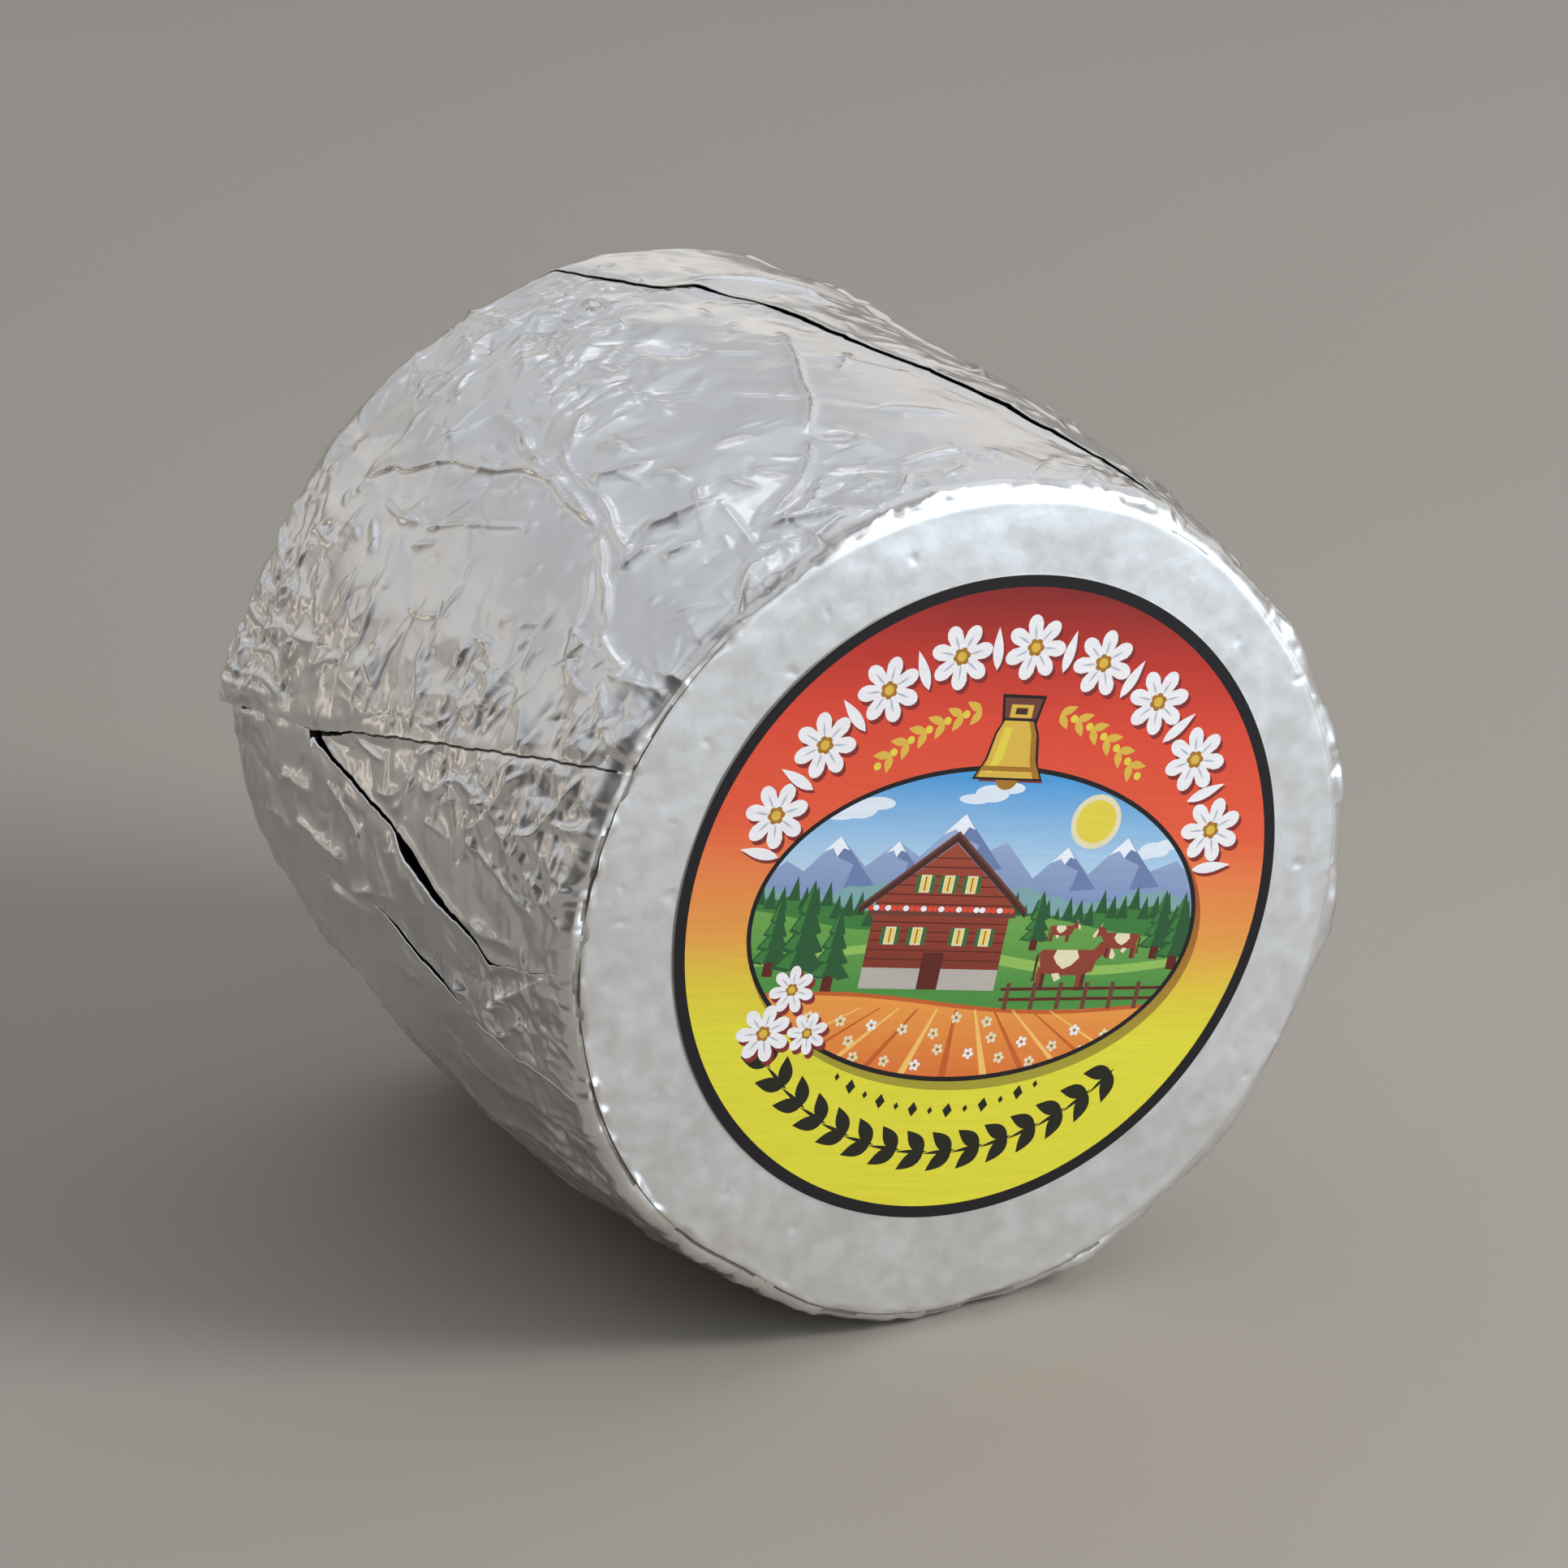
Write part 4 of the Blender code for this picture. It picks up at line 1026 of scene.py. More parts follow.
def foil_material():
    """Aluminium foil with a fine grain, duller in patches and on the labelled end."""
    nodes = Nodes(bpy.data.materials.new("foil"))
    nodes.fixed(metallic=1.0)
    nodes.join(nodes.patches(nodes.noise(110, 3), FOIL_COLOURS), nodes.shader.inputs["Base Color"])
    front = float(END_MIDDLE[1])
    on_end = nodes.between(nodes.axes()["Y"], 1.0, 0.0, front, front + END_FADE * MM)
    low, high = (FOIL_ROUGHNESS + more for more in FOIL_GRAIN)
    grain = nodes.between(nodes.noise(420, 4), low, high, 0.3, 0.7)
    rough = nodes.product(on_end, END_ROUGHNESS - FOIL_ROUGHNESS, grain)
    nodes.join(rough, nodes.shader.inputs["Roughness"])
    nodes.bump(nodes.noise(700, places=nodes.mapped(Scale=(1, 0.5, 1))), distance=0.04 * MM, strength=0.5)
    return nodes.owner


def painted_shade_material(name, *colours):
    """Painted shade for gaps and close edges between two sheets, a little uneven."""
    nodes = Nodes(bpy.data.materials.new(name))
    nodes.fixed(roughness=0.8)
    nodes.join(nodes.patches(nodes.noise(900), colours), nodes.shader.inputs["Base Color"])
    return nodes.owner


class Print:
    """Flat shapes of ink, in mm on the label, each over the ones before it."""

    def __init__(self):
        self.points, self.shapes, self.inks, self.windows = [], [], [], []

    def add(self, outline, ink, window=None):
        """One shape. A window is the number of an earlier shape that it is cut to."""
        outline = np.asarray(outline, float)
        after = np.roll(outline, -1, axis=0)
        if (outline[:, 0] * after[:, 1] - outline[:, 1] * after[:, 0]).sum() < 0:
            outline = outline[::-1]
        first = len(self.points)
        self.points += [Vector(point) for point in outline]
        self.shapes.append(list(range(first, len(self.points))))
        self.inks.append(INKS[ink])
        self.windows.append(window)
        return len(self.shapes) - 1

    def cut(self):
        """Triangles without overlaps: their points, corners and the ink that shows on each."""
        points, _, faces, _, _, sources = delaunay_2d_cdt(self.points, [], self.shapes, 1, 1e-4)
        kept, inks = [], []
        for face, under in zip(faces, sources):
            showing = [at for at in under if self.windows[at] is None or self.windows[at] in under]
            if showing:
                kept.append(face)
                inks.append(self.inks[max(showing)])
        used = sorted({at for face in kept for at in face})
        order = {at: number for number, at in enumerate(used)}
        corners = [[order[at] for at in face] for face in kept]
        return np.array([tuple(points[at]) for at in used]), corners, inks


class Window:
    """The part of a print that shows within one of its shapes."""

    def __init__(self, art, shape):
        self.art, self.shape = art, shape

    def add(self, outline, ink):
        self.art.add(outline, ink, self.shape)


# The label's black ring, and its oval picture: its middle, half sizes and frame
RING = 1.45
PICTURE_MIDDLE = (0, -3.0)
PICTURE_WIDE, PICTURE_HIGH = 29.8, 19.1
FRAME = 0.6
# Inks: a colour, or two with the heights on the label, in mm, where a shade runs from one to the other
INKS = {
    "black": ("1f1b1e",), "deep_red": ("84302d",), "cream": ("e6dcb8",), "gold": ("dcb54a",),
    "dark_gold": ("a87428",), "yellow": ("e3d04a",), "leaf_black": ("26251a",),
    "ground_7": ("862a27", 38, "bc382e", 30), "ground_6": ("bc382e", 30, "dc4b36", 22),
    "ground_5": ("dc4b36", 22, "e65e3d", 9), "ground_4": ("e65e3d", 9, "e88149", 3),
    "ground_3": ("e88149", 3, "e59e49", -5), "ground_2": ("e59e49", -5, "dfc63f", -11),
    "ground_1": ("dfc63f", -11, "e0d83d", -17), "ground_0": ("e0d83d", -17, "dfd63c", -40),
    "sky": ("4f9bd6", 15, "c4ddec", 1), "cloud": ("dfe9f2",), "far_rock": ("9fb0cf", 10, "8196bd", 0),
    "rock_shade": ("6d81aa",), "snow": ("eef2f8",), "haze": ("7fa7a8",), "forest": ("2d5a34",),
    "forest_light": ("3f7d3c",), "meadow": ("77ab52", 1, "4f8f42", -11), "meadow_light": ("93bd5c",),
    "wall": ("a04a34", 7, "7c3326", -11), "wall_line": ("5f271e",), "roof": ("4a2a24",),
    "roof_light": ("6d4034",), "stone": ("b7b0a6",), "pane": ("f0cf6a",), "shutter": ("3d6b3a",),
    "cow": ("8f4030",), "cow_dark": ("5c2a22",), "field": ("eda04a", -11, "dc7034", -23),
    "field_light": ("f4c169",), "field_dark": ("c65f2c",), "shade": ("a6582a", 0, "a39a34", -20),
    "petal": ("efedee",), "petal_line": ("b9bcc6",),
}


def ink_at(ink, height):
    """An ink's colour at a height on the label."""
    colour = linear(ink[0])
    if len(ink) == 1:
        return colour
    _, start, end_colour, end = ink
    return colour + (linear(end_colour) - colour) * np.clip((height - start) / (end - start), 0, 1)


def oval(middle, wide, high=None, count=32):
    """An ellipse from its half sizes."""
    angle = np.linspace(0, 2 * pi, count, endpoint=False)
    x, y = wide * np.cos(angle), (high or wide) * np.sin(angle)
    return np.stack([middle[0] + x, middle[1] + y], axis=1)


def around(radius, turn):
    """A place on the label, by how far it is from the middle and clockwise from the top."""
    return np.array([radius * sin(radians(turn)), radius * cos(radians(turn))])


def leaf(base, tip, width):
    """A pointed leaf."""
    base, tip = np.asarray(base, float), np.asarray(tip, float)
    along = tip - base
    across = np.array([-along[1], along[0]]) / np.hypot(*along) * width / 2
    share = np.linspace(0, 1, 8)[:, None]
    bulge = np.sin(pi * share ** 0.8)
    left, right = base + along * share + across * bulge, base + along * share - across * bulge
    return np.concatenate([left, right[-2:0:-1]])


def blossom(middle, size, petals, tilt):
    """A flower's outline with round petals."""
    angle = np.linspace(0, 2 * pi, petals * 8, endpoint=False)
    radius = size * (0.5 + 0.5 * np.abs(np.cos(petals * angle / 2)) ** 0.7)
    angle = angle + radians(tilt)
    return np.stack([middle[0] + radius * np.cos(angle), middle[1] + radius * np.sin(angle)], axis=1)


def block(low, high):
    """A rectangle from its lower left corner to its upper right one."""
    return [low, (high[0], low[1]), high, (low[0], high[1])]


def land(view, ink, foot, level, *waves):
    """Land from its foot up to a line that rolls across the picture in waves: rise, pace and start."""
    across = np.linspace(-33, 33, 45)
    for rise, pace, start in waves:
        level = level + rise * np.sin(across * pace + start)
    view.add([*zip(across, level), (33, foot), (-33, foot)], ink)


def sun_and_clouds(view):
    """A pale sun and three clouds."""
    sun = (13.5, 10.2)
    view.add(oval(sun, 3.4), "cream")
    view.add(oval(sun, 2.7), "yellow")
    for x, y, size in ((-19, 10.8, 1.0), (-1.5, 13.2, 0.9), (22.5, 6.9, 0.8)):
        for off, wide, high in ((-2.4, 2.4, 0.7), (0, 2.6, 1.2), (2.5, 2.3, 0.8)):
            view.add(oval((x + off * size, y + 0.3 * off), wide * size, high * size, count=20), "cloud")


def mountains(view):
    """A ridge of peaks, with their shaded sides and snow."""
    view.add([
        (-33, -1), (-27, 4.2), (-24.5, 3.0), (-20.5, 7.4), (-16.5, 3.8), (-12.6, 7.0), (-9.5, 5.2),
        (-4.4, 10.6), (-0.5, 6.0), (2.0, 7.3), (6.5, 2.9), (10.5, 6.9), (14.0, 3.6), (18.5, 8.3),
        (22.5, 4.2), (26.0, 5.6), (33, 0), (33, -6), (-33, -6),
    ], "far_rock")
    peaks = [
        (-20.5, 7.4, 3.2, 3.4), (-4.4, 10.6, 4.2, 3.8), (10.5, 6.9, 3.2, 2.9), (18.5, 8.3, 3.6, 3.4),
        (-12.6, 7.0, 2.4, 2.6),
    ]
    for x, y, left, right in peaks:
        view.add([
            (x, y), (x + right * 1.7, y - right * 1.75), (x + 0.5 * right, y - right * 1.9),
            (x + 0.7 * right, y - right), (x - 0.1 * right, y - 0.7 * right),
        ], "rock_shade")
        view.add([
            (x, y), (x + right * 0.45, y - right * 0.5), (x + right * 0.2, y - right * 0.42),
            (x, y - right * 0.75), (x - left * 0.22, y - left * 0.45), (x - left * 0.6, y - left * 0.62),
        ], "snow")


def hills(view):
    """Woods in the distance, and the meadows in front of them."""
    land(view, "haze", -14, 0.8, (0.9, 0.33, 0), (0.3, 1.3, 0))
    land(view, "forest_light", -14, -1.0, (0.8, 0.27, 2), (0.25, 1.9, 0))
    for x in np.arange(-31, 31, 1.5):
        top = 0.9 + 0.8 * sin(x * 0.27 + 2) + 0.7 * sin(x * 2.7)
        view.add([(x - 0.85, top - 3.0), (x + 0.85, top - 3.0), (x, top)], "forest")
    land(view, "meadow", -20, -2.9, (1.1, 0.16, 0.6))
    land(view, "meadow_light", -20, -6.6, (1.2, 0.13, 2.6))
    land(view, "meadow", -20, -7.8, (1.2, 0.13, 2.7))


def fir(view, x, foot, size):
    """A fir with four layers of branches, each with a light side."""
    view.add(block((x - 0.08 * size, foot - 0.1 * size), (x + 0.08 * size, foot + 0.2 * size)), "wall_line")
    for level in range(4):
        low, wide = foot + size * (0.1 + 0.2 * level), size * (0.32 - 0.065 * level)
        view.add([
            (x - wide, low), (x - 0.4 * wide, low - 0.03 * size), (x, low + 0.02 * size),
            (x + 0.5 * wide, low - 0.04 * size), (x + wide, low), (x, low + 0.36 * size),
        ], "forest")
        view.add([
            (x - wide * 0.8, low + 0.03 * size), (x - 0.3 * wide, low), (x - 0.05 * wide, low + 0.3 * size),
        ], "forest_light")


def farmhouse(view):
    """A wooden farmhouse on a stone foot, with a balcony of flowers under its wide roof."""
    left, right, foot, eaves, top, out = -14.0, 4.5, -11.2, -0.4, 7.0, 2.1
    middle = (left + right) / 2
    view.add([(left, foot), (right, foot), (right, eaves), (middle, top), (left, eaves)], "wall")
    for level in np.arange(foot + 3.6, top - 1.5, 1.15):
        inset = max((level - eaves) / (top - eaves), 0) * (middle - left)
        view.add(block((left + inset, level), (right - inset, level + 0.16)), "wall_line")
    view.add(block((left, foot), (right, foot + 2.6)), "stone")
    view.add(block((middle - 1.4, foot), (middle + 1.4, foot + 4.6)), "wall_line")
    layers = [(1.25, -0.1, 2.1, "shutter"), (0.7, -0.1, 2.1, "cream"), (0.5, 0.1, 1.9, "pane"),
              (0.07, 0.1, 1.9, "wall_line")]
    for y, row in ((-5.6, (-11.2, -7.6, -1.9, 1.7)), (0.9, (-7.9, -4.75, -1.6))):
        for x in row:
            for half, low, high, ink in layers:
                view.add(block((x - half, y + low), (x + half, y + high)), ink)
    view.add(block((left - 0.8, -2.1), (right + 0.8, -1.4)), "roof_light")
    for x in np.arange(left - 0.6, right + 0.9, 0.8):
        view.add(oval((x, -1.2), 0.42, 0.36, count=10), "ground_6" if int(x * 5) % 3 else "petal")
    for drop, rise, ink in ((1.7, 0.1, "roof"), (0.9, 1.0, "roof_light")):
        view.add([
            (left - out, eaves - drop), (left - out, eaves - 0.5), (middle, top + 1.5),
            (right + out, eaves - 0.5), (right + out, eaves - drop), (middle, top + rise),
        ], ink)


def cow(view, x, foot, size, facing):
    """A cow seen from the side, which faces right (1) or left (-1)."""
    def spot(points, ink):
        view.add([(x + facing * u * size, foot + v * size) for u, v in points], ink)

    for u in (-3.1, 2.5):
        spot(block((u - 0.35, 0.1), (u + 0.25, 2.6)), "cow_dark")
    spot([
        (-4.2, 4.7), (-3.8, 5.1), (3.4, 5.2), (3.9, 4.4), (3.6, 2.5), (2.0, 2.0), (-1.5, 1.9), (-3.6, 2.2),
    ], "cow")
    for u in (-3.7, 1.9):
        spot(block((u - 0.35, 0), (u + 0.3, 2.9)), "cow")
    spot([(-4.2, 4.8), (-4.6, 4.2), (-4.5, 1.6), (-4.75, 1.2), (-4.2, 1.1), (-4.2, 3.9)], "cow_dark")
    spot([
        (-1.9, 5.1), (0.9, 5.15), (1.4, 4.2), (0.5, 3.2), (-0.6, 2.7), (-1.5, 3.3), (-2.2, 4.2),
    ], "cream")
    spot([(-2.0, 2.1), (-1.0, 2.2), (-0.6, 1.5), (-1.4, 1.1)], "cream")
    spot([
        (2.9, 4.9), (3.7, 5.9), (4.8, 6.5), (5.4, 6.1), (6.3, 4.6), (6.1, 4.1), (5.4, 4.1), (4.5, 4.6),
        (3.6, 3.4),
    ], "cow")
    spot([(5.4, 6.0), (6.3, 4.6), (6.1, 4.1), (5.5, 4.2), (5.2, 5.3)], "cream")
    spot([(3.7, 6.1), (4.5, 6.3), (4.2, 6.0)], "cow_dark")
    spot([(4.7, 6.4), (4.6, 7.2), (4.95, 6.4)], "cream")


def foreground(view):
    """A field with furrows and flowers, and a fence behind it."""
    land(view, "field_dark", -24, -12.6, (-0.9, 0.11, 0.4))
    land(view, "field", -24, -13.1, (-0.9, 0.11, 0.4))
    for furrow in range(-5, 6):
        head, foot = furrow * 2.6, furrow * 6.5
        view.add([(head - 0.15, -13.6), (head + 0.15, -13.6), (foot + 0.6, -24), (foot - 0.6, -24)],
                 "field_light" if furrow % 2 else "field_dark")
    for number in range(26):
        middle = -24 + 48 * (number * 0.618 % 1), -14.4 - 6.5 * (number * 0.414 % 1)
        view.add(blossom(middle, 0.75, 5, number * 31), "cream" if number % 3 else "petal")
        view.add(oval(middle, 0.24, count=8), "dark_gold")
    for rail in (-11.2, -12.5):
        view.add([(5.5, rail), (33, rail + 0.8), (33, rail + 1.2), (5.5, rail + 0.4)], "wall_line")
    for x in np.arange(6.5, 30, 3.6):
        rise = (x - 6) * 0.03
        view.add(block((x - 0.3, -13.6 + rise), (x + 0.3, -10.2 + rise)), "roof_light")


def border(art):
    """The flowers and leaves round the picture, in four rings about the label's middle."""
    flowers, sprigs, leaves, diamonds = 31.2, 23.9, 31.6, 26.4
    for number in range(9):
        turn = -72 + 18 * number
        flower(art, around(flowers, turn), 4.1, -turn)
        for side in (-1, 1):
            foot, tip = around(28.6, turn + side * 8.8), around(33.9, turn + side * 8.8)
            if side > 0 or not number:
                art.add(leaf(foot + (0.3, -0.35), tip + (0.3, -0.35), 1.5), "deep_red")
                art.add(leaf(foot, tip, 1.4), "petal")
    for side in (-1, 1):
        for number in range(6):
            turn = side * (13 + 6 * number)
            for lean in (-1, 1):
                tip = around(sprigs + 1.5 * lean, turn + side * 4.2)
                art.add(leaf(around(sprigs, turn), tip, 1.05), "gold")
            art.add(oval(around(sprigs, turn + side * 4.9), 0.5, count=12), "yellow")
    for number in range(15):
        turn = 132 + 6.9 * number
        for lean in (-1, 1):
            tip = around(leaves + 2.5 * lean, turn + 5.6)
            art.add(leaf(around(leaves, turn), tip, 1.9), "leaf_black")
        art.add(leaf(around(leaves, turn - 1), around(leaves + 0.3, turn + 7.3), 0.5), "leaf_black")
    for number in range(13):
        middle = around(diamonds, 150 + 5.2 * number)
        high = 0.95 if number % 2 else 0.5
        wide = 0.7 * high
        corners = (0, high), (wide, 0), (0, -high), (-wide, 0)
        art.add([middle + corner for corner in corners], "leaf_black")


def flower(art, middle, size, tilt):
    """A white flower with seven petals and a gold heart, over its red shadow."""
    middle = np.asarray(middle)
    art.add(blossom(middle + (0.45, -0.5), size, 7, tilt), "deep_red")
    art.add(blossom(middle, size, 7, tilt), "petal")
    for petal in range(7):
        away = radians(tilt + petal * 360 / 7)
        ray = np.array([cos(away), sin(away)])
        art.add(leaf(middle + ray * size * 0.25, middle + ray * size * 0.72, size * 0.07), "petal_line")
    for number in range(6):
        away = radians(tilt + number * 60)
        seed = middle + size * 0.17 * np.array([cos(away), sin(away)])
        art.add(oval(seed, size * 0.11, count=10), "dark_gold")
    art.add(oval(middle, size * 0.15, count=12), "gold")


def bell(art):
    """A cow bell on a strap, over the top of the picture's frame."""
    art.add([(-2.3, 21.6), (-3.0, 25.4), (3.0, 25.4), (2.3, 21.6)], "black")
    art.add([(-1.9, 21.6), (-2.6, 25.0), (2.6, 25.0), (1.9, 21.6)], "roof_light")
    art.add(block((-1.5, 22.6), (1.5, 24.2)), "gold")
    art.add(block((-0.8, 23.0), (0.8, 23.8)), "roof")
    outline = [
        (-1.9, 22.2), (1.9, 22.2), (2.7, 20.6), (3.3, 17.4), (4.4, 15.2), (-4.4, 15.2), (-3.3, 17.4),
        (-2.7, 20.6),
    ]
    art.add([(u + 0.5, v - 0.5) for u, v in outline], "deep_red")
    art.add(oval((0, 15.1), 1.5, 1.4, count=18), "dark_gold")
    art.add([(u * 1.09, 18.6 + (v - 18.6) * 1.08) for u, v in outline], "black")
    art.add(outline, "dark_gold")
    art.add([(u * 0.86 - 0.35, v) for u, v in outline], "gold")
    art.add([(-1.7, 21.4), (-0.7, 21.4), (-1.2, 17.6), (-2.3, 15.8), (-3.0, 15.8), (-2.4, 17.8)], "yellow")
    art.add([(-3.6, 16.6), (3.5, 16.6), (3.9, 16.0), (-4.0, 16.0)], "dark_gold")


def farm_picture(view):
    """An alpine farm with cows, firs and mountains."""
    sun_and_clouds(view)
    mountains(view)
    hills(view)
    for x, foot, size in ((-26.5, -9.2, 8.5), (-22.6, -10.2, 11.5), (-18.3, -10.8, 9.0), (25.6, -6.0, 7.5),
                          (28.4, -7.2, 8.5), (8.6, -5.4, 6.5)):
        fir(view, x, foot, size)
    farmhouse(view)
    for x, foot, size, facing in ((14.0, -11.0, 1.0, 1), (20.5, -6.8, 0.62, -1), (12.2, -4.9, 0.4, 1)):
        cow(view, x, foot, size, facing)
    foreground(view)


def label_art():
    """The printed design: flowers, a bell and leaves round a picture, on a ground from red to yellow."""
    art = Print()
    art.add(oval((0, 0), LABEL_RADIUS, count=192), "black")
    ground = Window(art, art.add(oval((0, 0), LABEL_RADIUS - RING, count=160), "ground_7"))
    for number in range(7, -1, -1):
        name = "ground_%d" % number
        _, top, _, low = INKS[name]
        ground.add(block((-40, low), (40, top)), name)
    border(art)
    art.add(oval((0.7, -3.9), PICTURE_WIDE + 0.8, PICTURE_HIGH + 0.8, count=96), "shade")
    art.add(oval(PICTURE_MIDDLE, PICTURE_WIDE + FRAME, PICTURE_HIGH + FRAME, count=120), "black")
    sky = art.add(oval(PICTURE_MIDDLE, PICTURE_WIDE, PICTURE_HIGH, count=120), "sky")
    farm_picture(Window(art, sky))
    bell(art)
    for turn, reach, size in ((236, 30.5, 3.6), (243, 25.5, 3.0), (229, 25.8, 2.7)):
        flower(art, around(reach, turn), size, turn)
    return art


def paper_label(material):
    """The label: a thin sheet of paper, its edge, and the inks as colours of the faces' corners."""
    points, faces, inks = label_art().cut()
    front = END_MIDDLE[1] / MM - LABEL_STANDS
    tilt = radians(LABEL_TURN)
    right, up = np.array([cos(tilt), -sin(tilt)]), np.array([sin(tilt), cos(tilt)])
    flat = points @ np.array([right, up]) + LABEL_OFFSET
    form = bmesh.new()
    layer = form.loops.layers.float_color.new("ink")

    def corner(spot, level):
        return form.verts.new((spot[0] * MM + END_MIDDLE[0], level * MM, spot[1] * MM + END_MIDDLE[2]))

    corners = [corner(spot, front) for spot in flat]
    for face, ink in zip(faces, inks):
        made = form.faces.new([corners[at] for at in face])
        for loop, at in zip(made.loops, face):
            loop[layer] = (*ink_at(ink, points[at][1]), 1.0)
    rim = [at for at, point in enumerate(points) if np.hypot(*point) > LABEL_RADIUS - 0.01]
    rim.sort(key=lambda at: atan2(points[at][1], points[at][0]))
    behind = [corner(flat[at], front + PAPER_THICKNESS) for at in rim]
    sides = [form.faces.new([corners[rim[at - 1]], corners[rim[at]], behind[at], behind[at - 1]])
             for at in range(len(rim))]
    sides.append(form.faces.new(behind))
    for face in sides:
        for loop in face.loops:
            loop[layer] = (*linear("c9c5bd"), 1.0)
    bmesh.ops.recalc_face_normals(form, faces=form.faces)
    return new_object("printed_label", mesh_of(form, "printed_label"), [material])


def print_material():
    """Coated paper, its inks a little uneven in fine level streaks."""
    nodes = Nodes(bpy.data.materials.new("printed_paper"))
    nodes.fixed(roughness=0.5, specular_ior_level=0.2)
    streaks = nodes.noise(1, places=nodes.mapped(
        "TEXTURE", Rotation=(0, radians(LABEL_TURN), 0), Scale=(1 / 90, 1, 1 / 1500)))
    shade = nodes.patches(streaks, [(0.94, 0.92, 0.92), WHITE])
    speckle = nodes.ramp(nodes.noise(2600, 1), [(0.35, (0.98, 0.98, 0.98)), (0.6, WHITE)])
    colour = nodes.add("ShaderNodeVertexColor", layer_name="ink").outputs["Color"]
    for layer in (shade, speckle):
        mix = nodes.add("ShaderNodeMix", data_type="RGBA", blend_type="MULTIPLY")
        mix.inputs["Factor"].default_value = 1
        nodes.join(colour, mix.inputs["A"])
        nodes.join(layer, mix.inputs["B"])
        colour = mix.outputs["Result"]
    nodes.join(colour, nodes.shader.inputs["Base Color"])
    nodes.bump(nodes.noise(160, 3), distance=0.08 * MM, strength=0.5)
    return nodes.owner


def camera():
    """The photograph's camera."""
    data = bpy.data.cameras.new("camera")
    data.sensor_width = 36
    data.lens = FOCAL_PIXELS / IMAGE_SIDE * data.sensor_width
    data.clip_start, data.clip_end = 0.01, 20
    azimuth, elevation = radians(CAMERA_AZIMUTH), radians(CAMERA_ELEVATION)
    back = Vector((sin(azimuth) * cos(elevation), -cos(azimuth) * cos(elevation), sin(elevation)))
    right = Vector((cos(azimuth), sin(azimuth), 0))
    up = back.cross(right)
    wheel_middle = Vector(END_MIDDLE) + Vector((0, LENGTH / 2 * MM, 0))
    place = wheel_middle + right * CAMERA_SLIDE[0] + up * CAMERA_SLIDE[1] + back * CAMERA_DISTANCE
    turned = Matrix((right, up, back)).transposed().to_4x4()
    obj = new_object("camera", data)
    obj.matrix_world = Matrix.Translation(place) @ turned
    bpy.context.scene.camera = obj


def area_light(name, place, side, power, colour, target, spread):
    """A square lamp that faces a place."""
    data = bpy.data.lights.new(name, "AREA")
    data.size, data.energy, data.color, data.spread = side, power, colour, radians(spread)
    obj = new_object(name, data)
    obj.location = place
    obj.rotation_euler = (Vector(target) - Vector(place)).to_track_quat("-Z", "Y").to_euler()


def surround():
    """The world, bright by height and direction and in soft patches."""
    nodes = Nodes(bpy.data.worlds.new("surround"), "Background", "Generated")
    axes = nodes.axes()

    def along(axis, stops, interpolation="LINEAR"):
        share = nodes.between(axes[axis], 0, 1, -1, 1)
        return nodes.ramp(share, [((at + 1) / 2, colour) for at, colour in stops], interpolation)

    nodes.join(along("Z", SURROUND), nodes.shader.inputs["Color"])
    level = None
    for axis, stops in (("Y", FRONT_TO_BACK), ("X", LEFT_TO_RIGHT)):
        share = along(axis, [(at, (left, left, left)) for at, left in stops], "EASE")
        level = share if level is None else nodes.product(level, share)
    patches = nodes.between(nodes.noise(PATCH_SCALE, 1), *SURROUND_PATCHES, 0.3, 0.7)
    nodes.join(nodes.product(level, patches), nodes.shader.inputs["Strength"])
    bpy.context.scene.world = nodes.owner


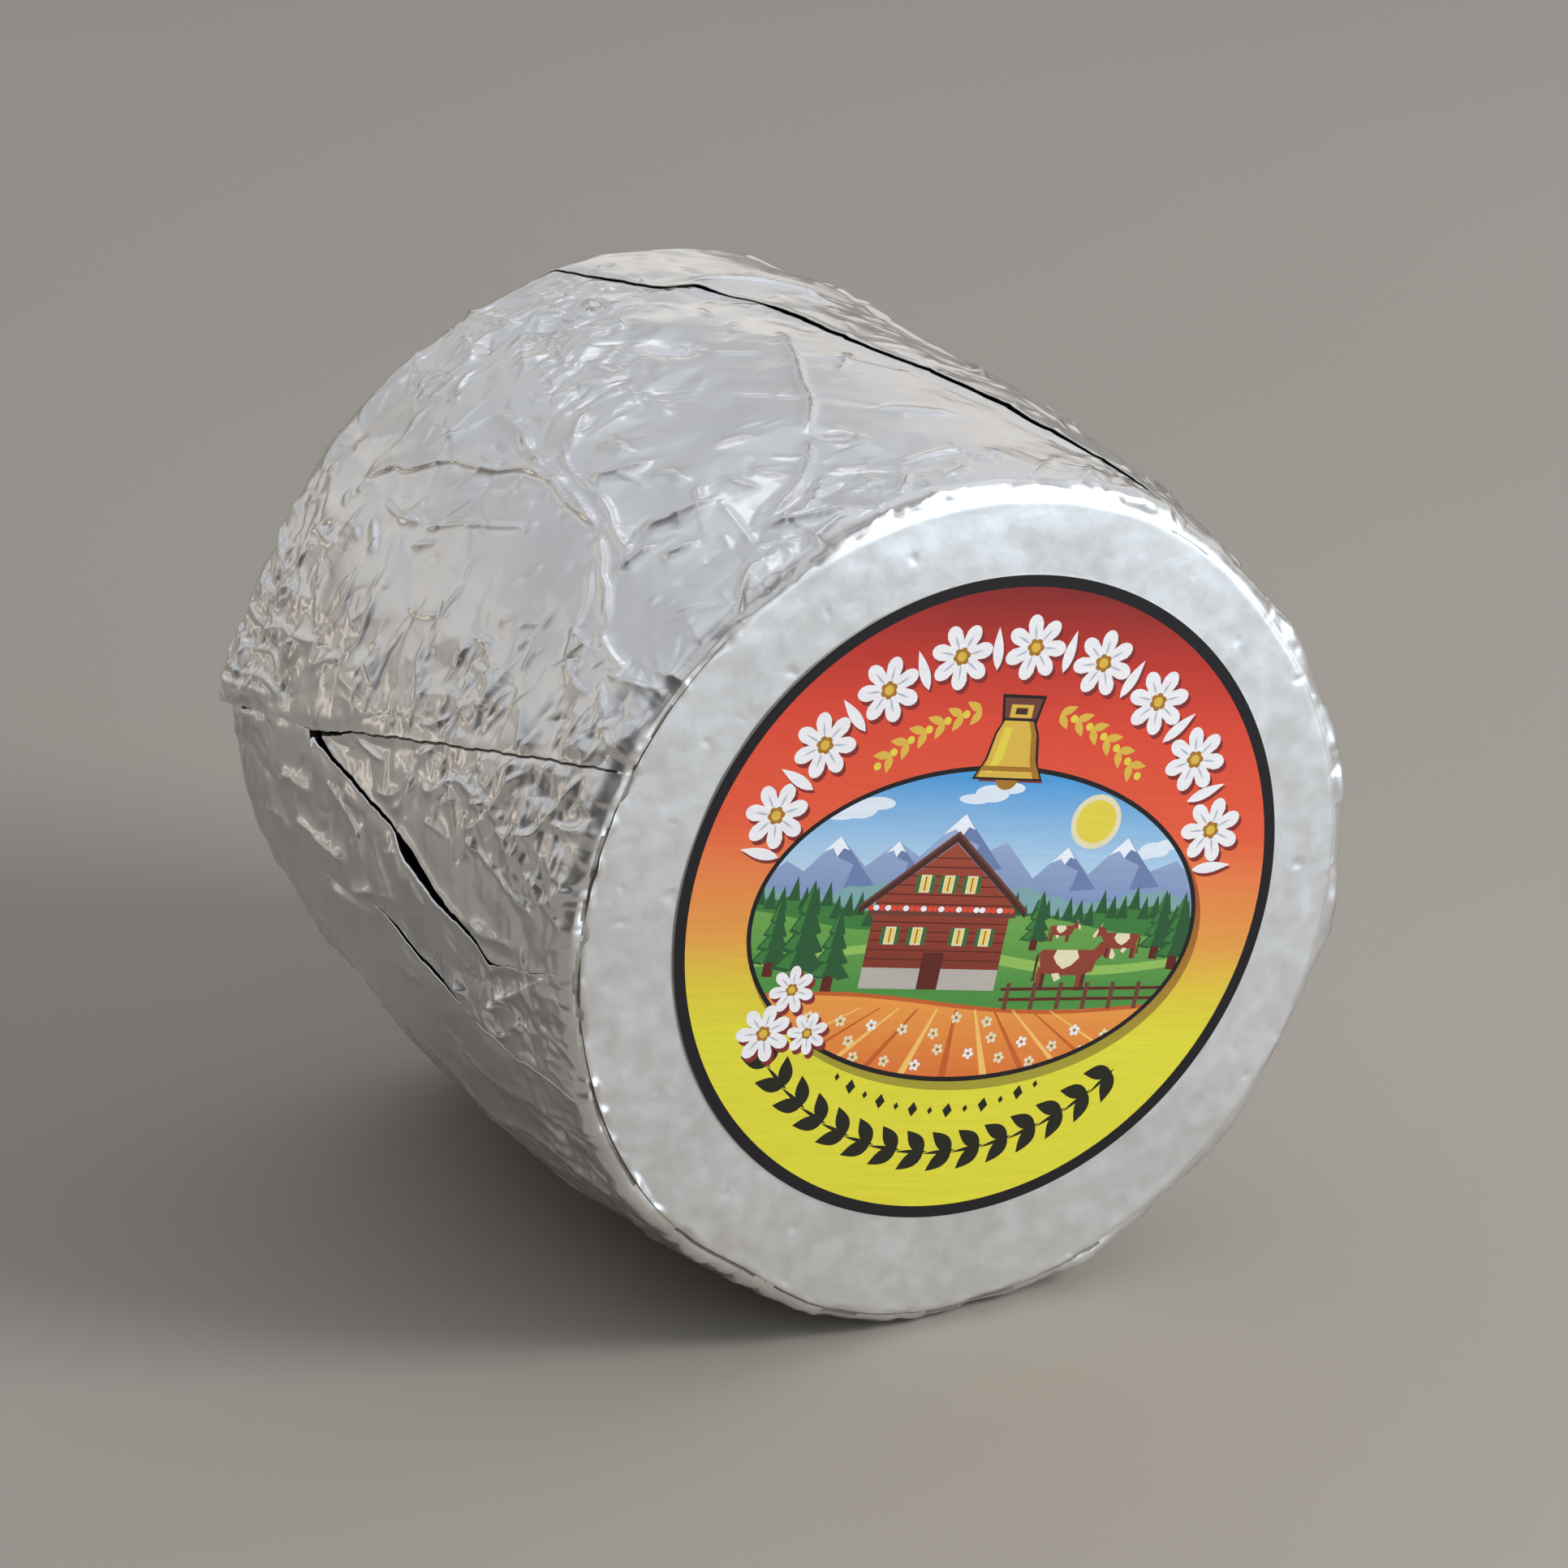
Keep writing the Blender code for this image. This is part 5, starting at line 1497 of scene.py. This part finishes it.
def plain_floor():
    """A pale, dull floor."""
    form = bmesh.new()
    bmesh.ops.create_grid(form, x_segments=1, y_segments=1, size=FLOOR_REACH)
    nodes = Nodes(bpy.data.materials.new("floor"))
    nodes.fixed(roughness=0.7)
    nodes.join(nodes.patches(nodes.noise(3), FLOOR_GREYS), nodes.shader.inputs["Base Color"])
    floor = new_object("floor", mesh_of(form, "floor"), [nodes.owner])
    floor.location.z = -FLOOR_DROP * MM


def studio():
    """A pale floor, soft lamps, and a surround that is brighter in places."""
    for light in LIGHTS:
        area_light(*light)
    surround()
    plain_floor()
    bpy.context.scene.view_settings.view_transform = "Standard"


camera()
foil = foil_material()
# Painted shade: brown grey under close edges and in thin gaps, and near black as painted deep shadow in open
# gaps
shade = painted_shade_material("foil_painted_shade", (0.20, 0.18, 0.155), (0.28, 0.255, 0.225))
gap = painted_shade_material("foil_painted_deep_shadow", (0.004, 0.004, 0.004), (0.010, 0.009, 0.008))

far = Seam(FAR_EDGE, FAR_OPEN)
upper = Seam(UPPER_EDGE, UPPER_OPEN, line=0.35, stands=[(66, 0), (76, 0.4), (90, 1.3), (97, 0.6)])
tuck = Seam(TUCK_EDGE, TUCK_OPEN, [(0, 1)], lip=0.5)
below = Seam(BELOW_EDGE, TUCK_OPEN, [(64, 1), (66.5, 0)])
lower = Seam(LOWER_EDGE, LOWER_OPEN, [(48, 1), (56, 0)], stands=[(24, -0.14), (30, 0)])
under = Seam(UNDER_EDGE, UNDER_OPEN)
right = Seam(RIGHT_EDGE, RIGHT_OPEN)
far_again = Seam(FAR_EDGE, FAR_OPEN, reach=18.0, turned=360)
sheet_materials = [foil, shade, gap]

pieces = [
    *foil_sheet("foil_upper", far, upper, sheet_materials, parts=2),
    *foil_sheet("foil_tuck", upper, tuck, sheet_materials, last=65.5, shift=40),
    *foil_sheet("foil_lower", below, lower, sheet_materials, shift=80),
    *foil_sheet("foil_under", lower, under, sheet_materials, cell=0.42),
    *foil_sheet("foil_right", under, right, sheet_materials, cell=0.55),
    *foil_sheet("foil_far", right, far_again, sheet_materials, cell=0.42),
    foil_front([foil]),
    foil_back([foil]),
]
for piece in pieces:
    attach(piece, "root")
    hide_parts("foil_wrapped_cheese")

label = paper_label(print_material())
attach(label, "root")
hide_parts("paper_label")

studio()
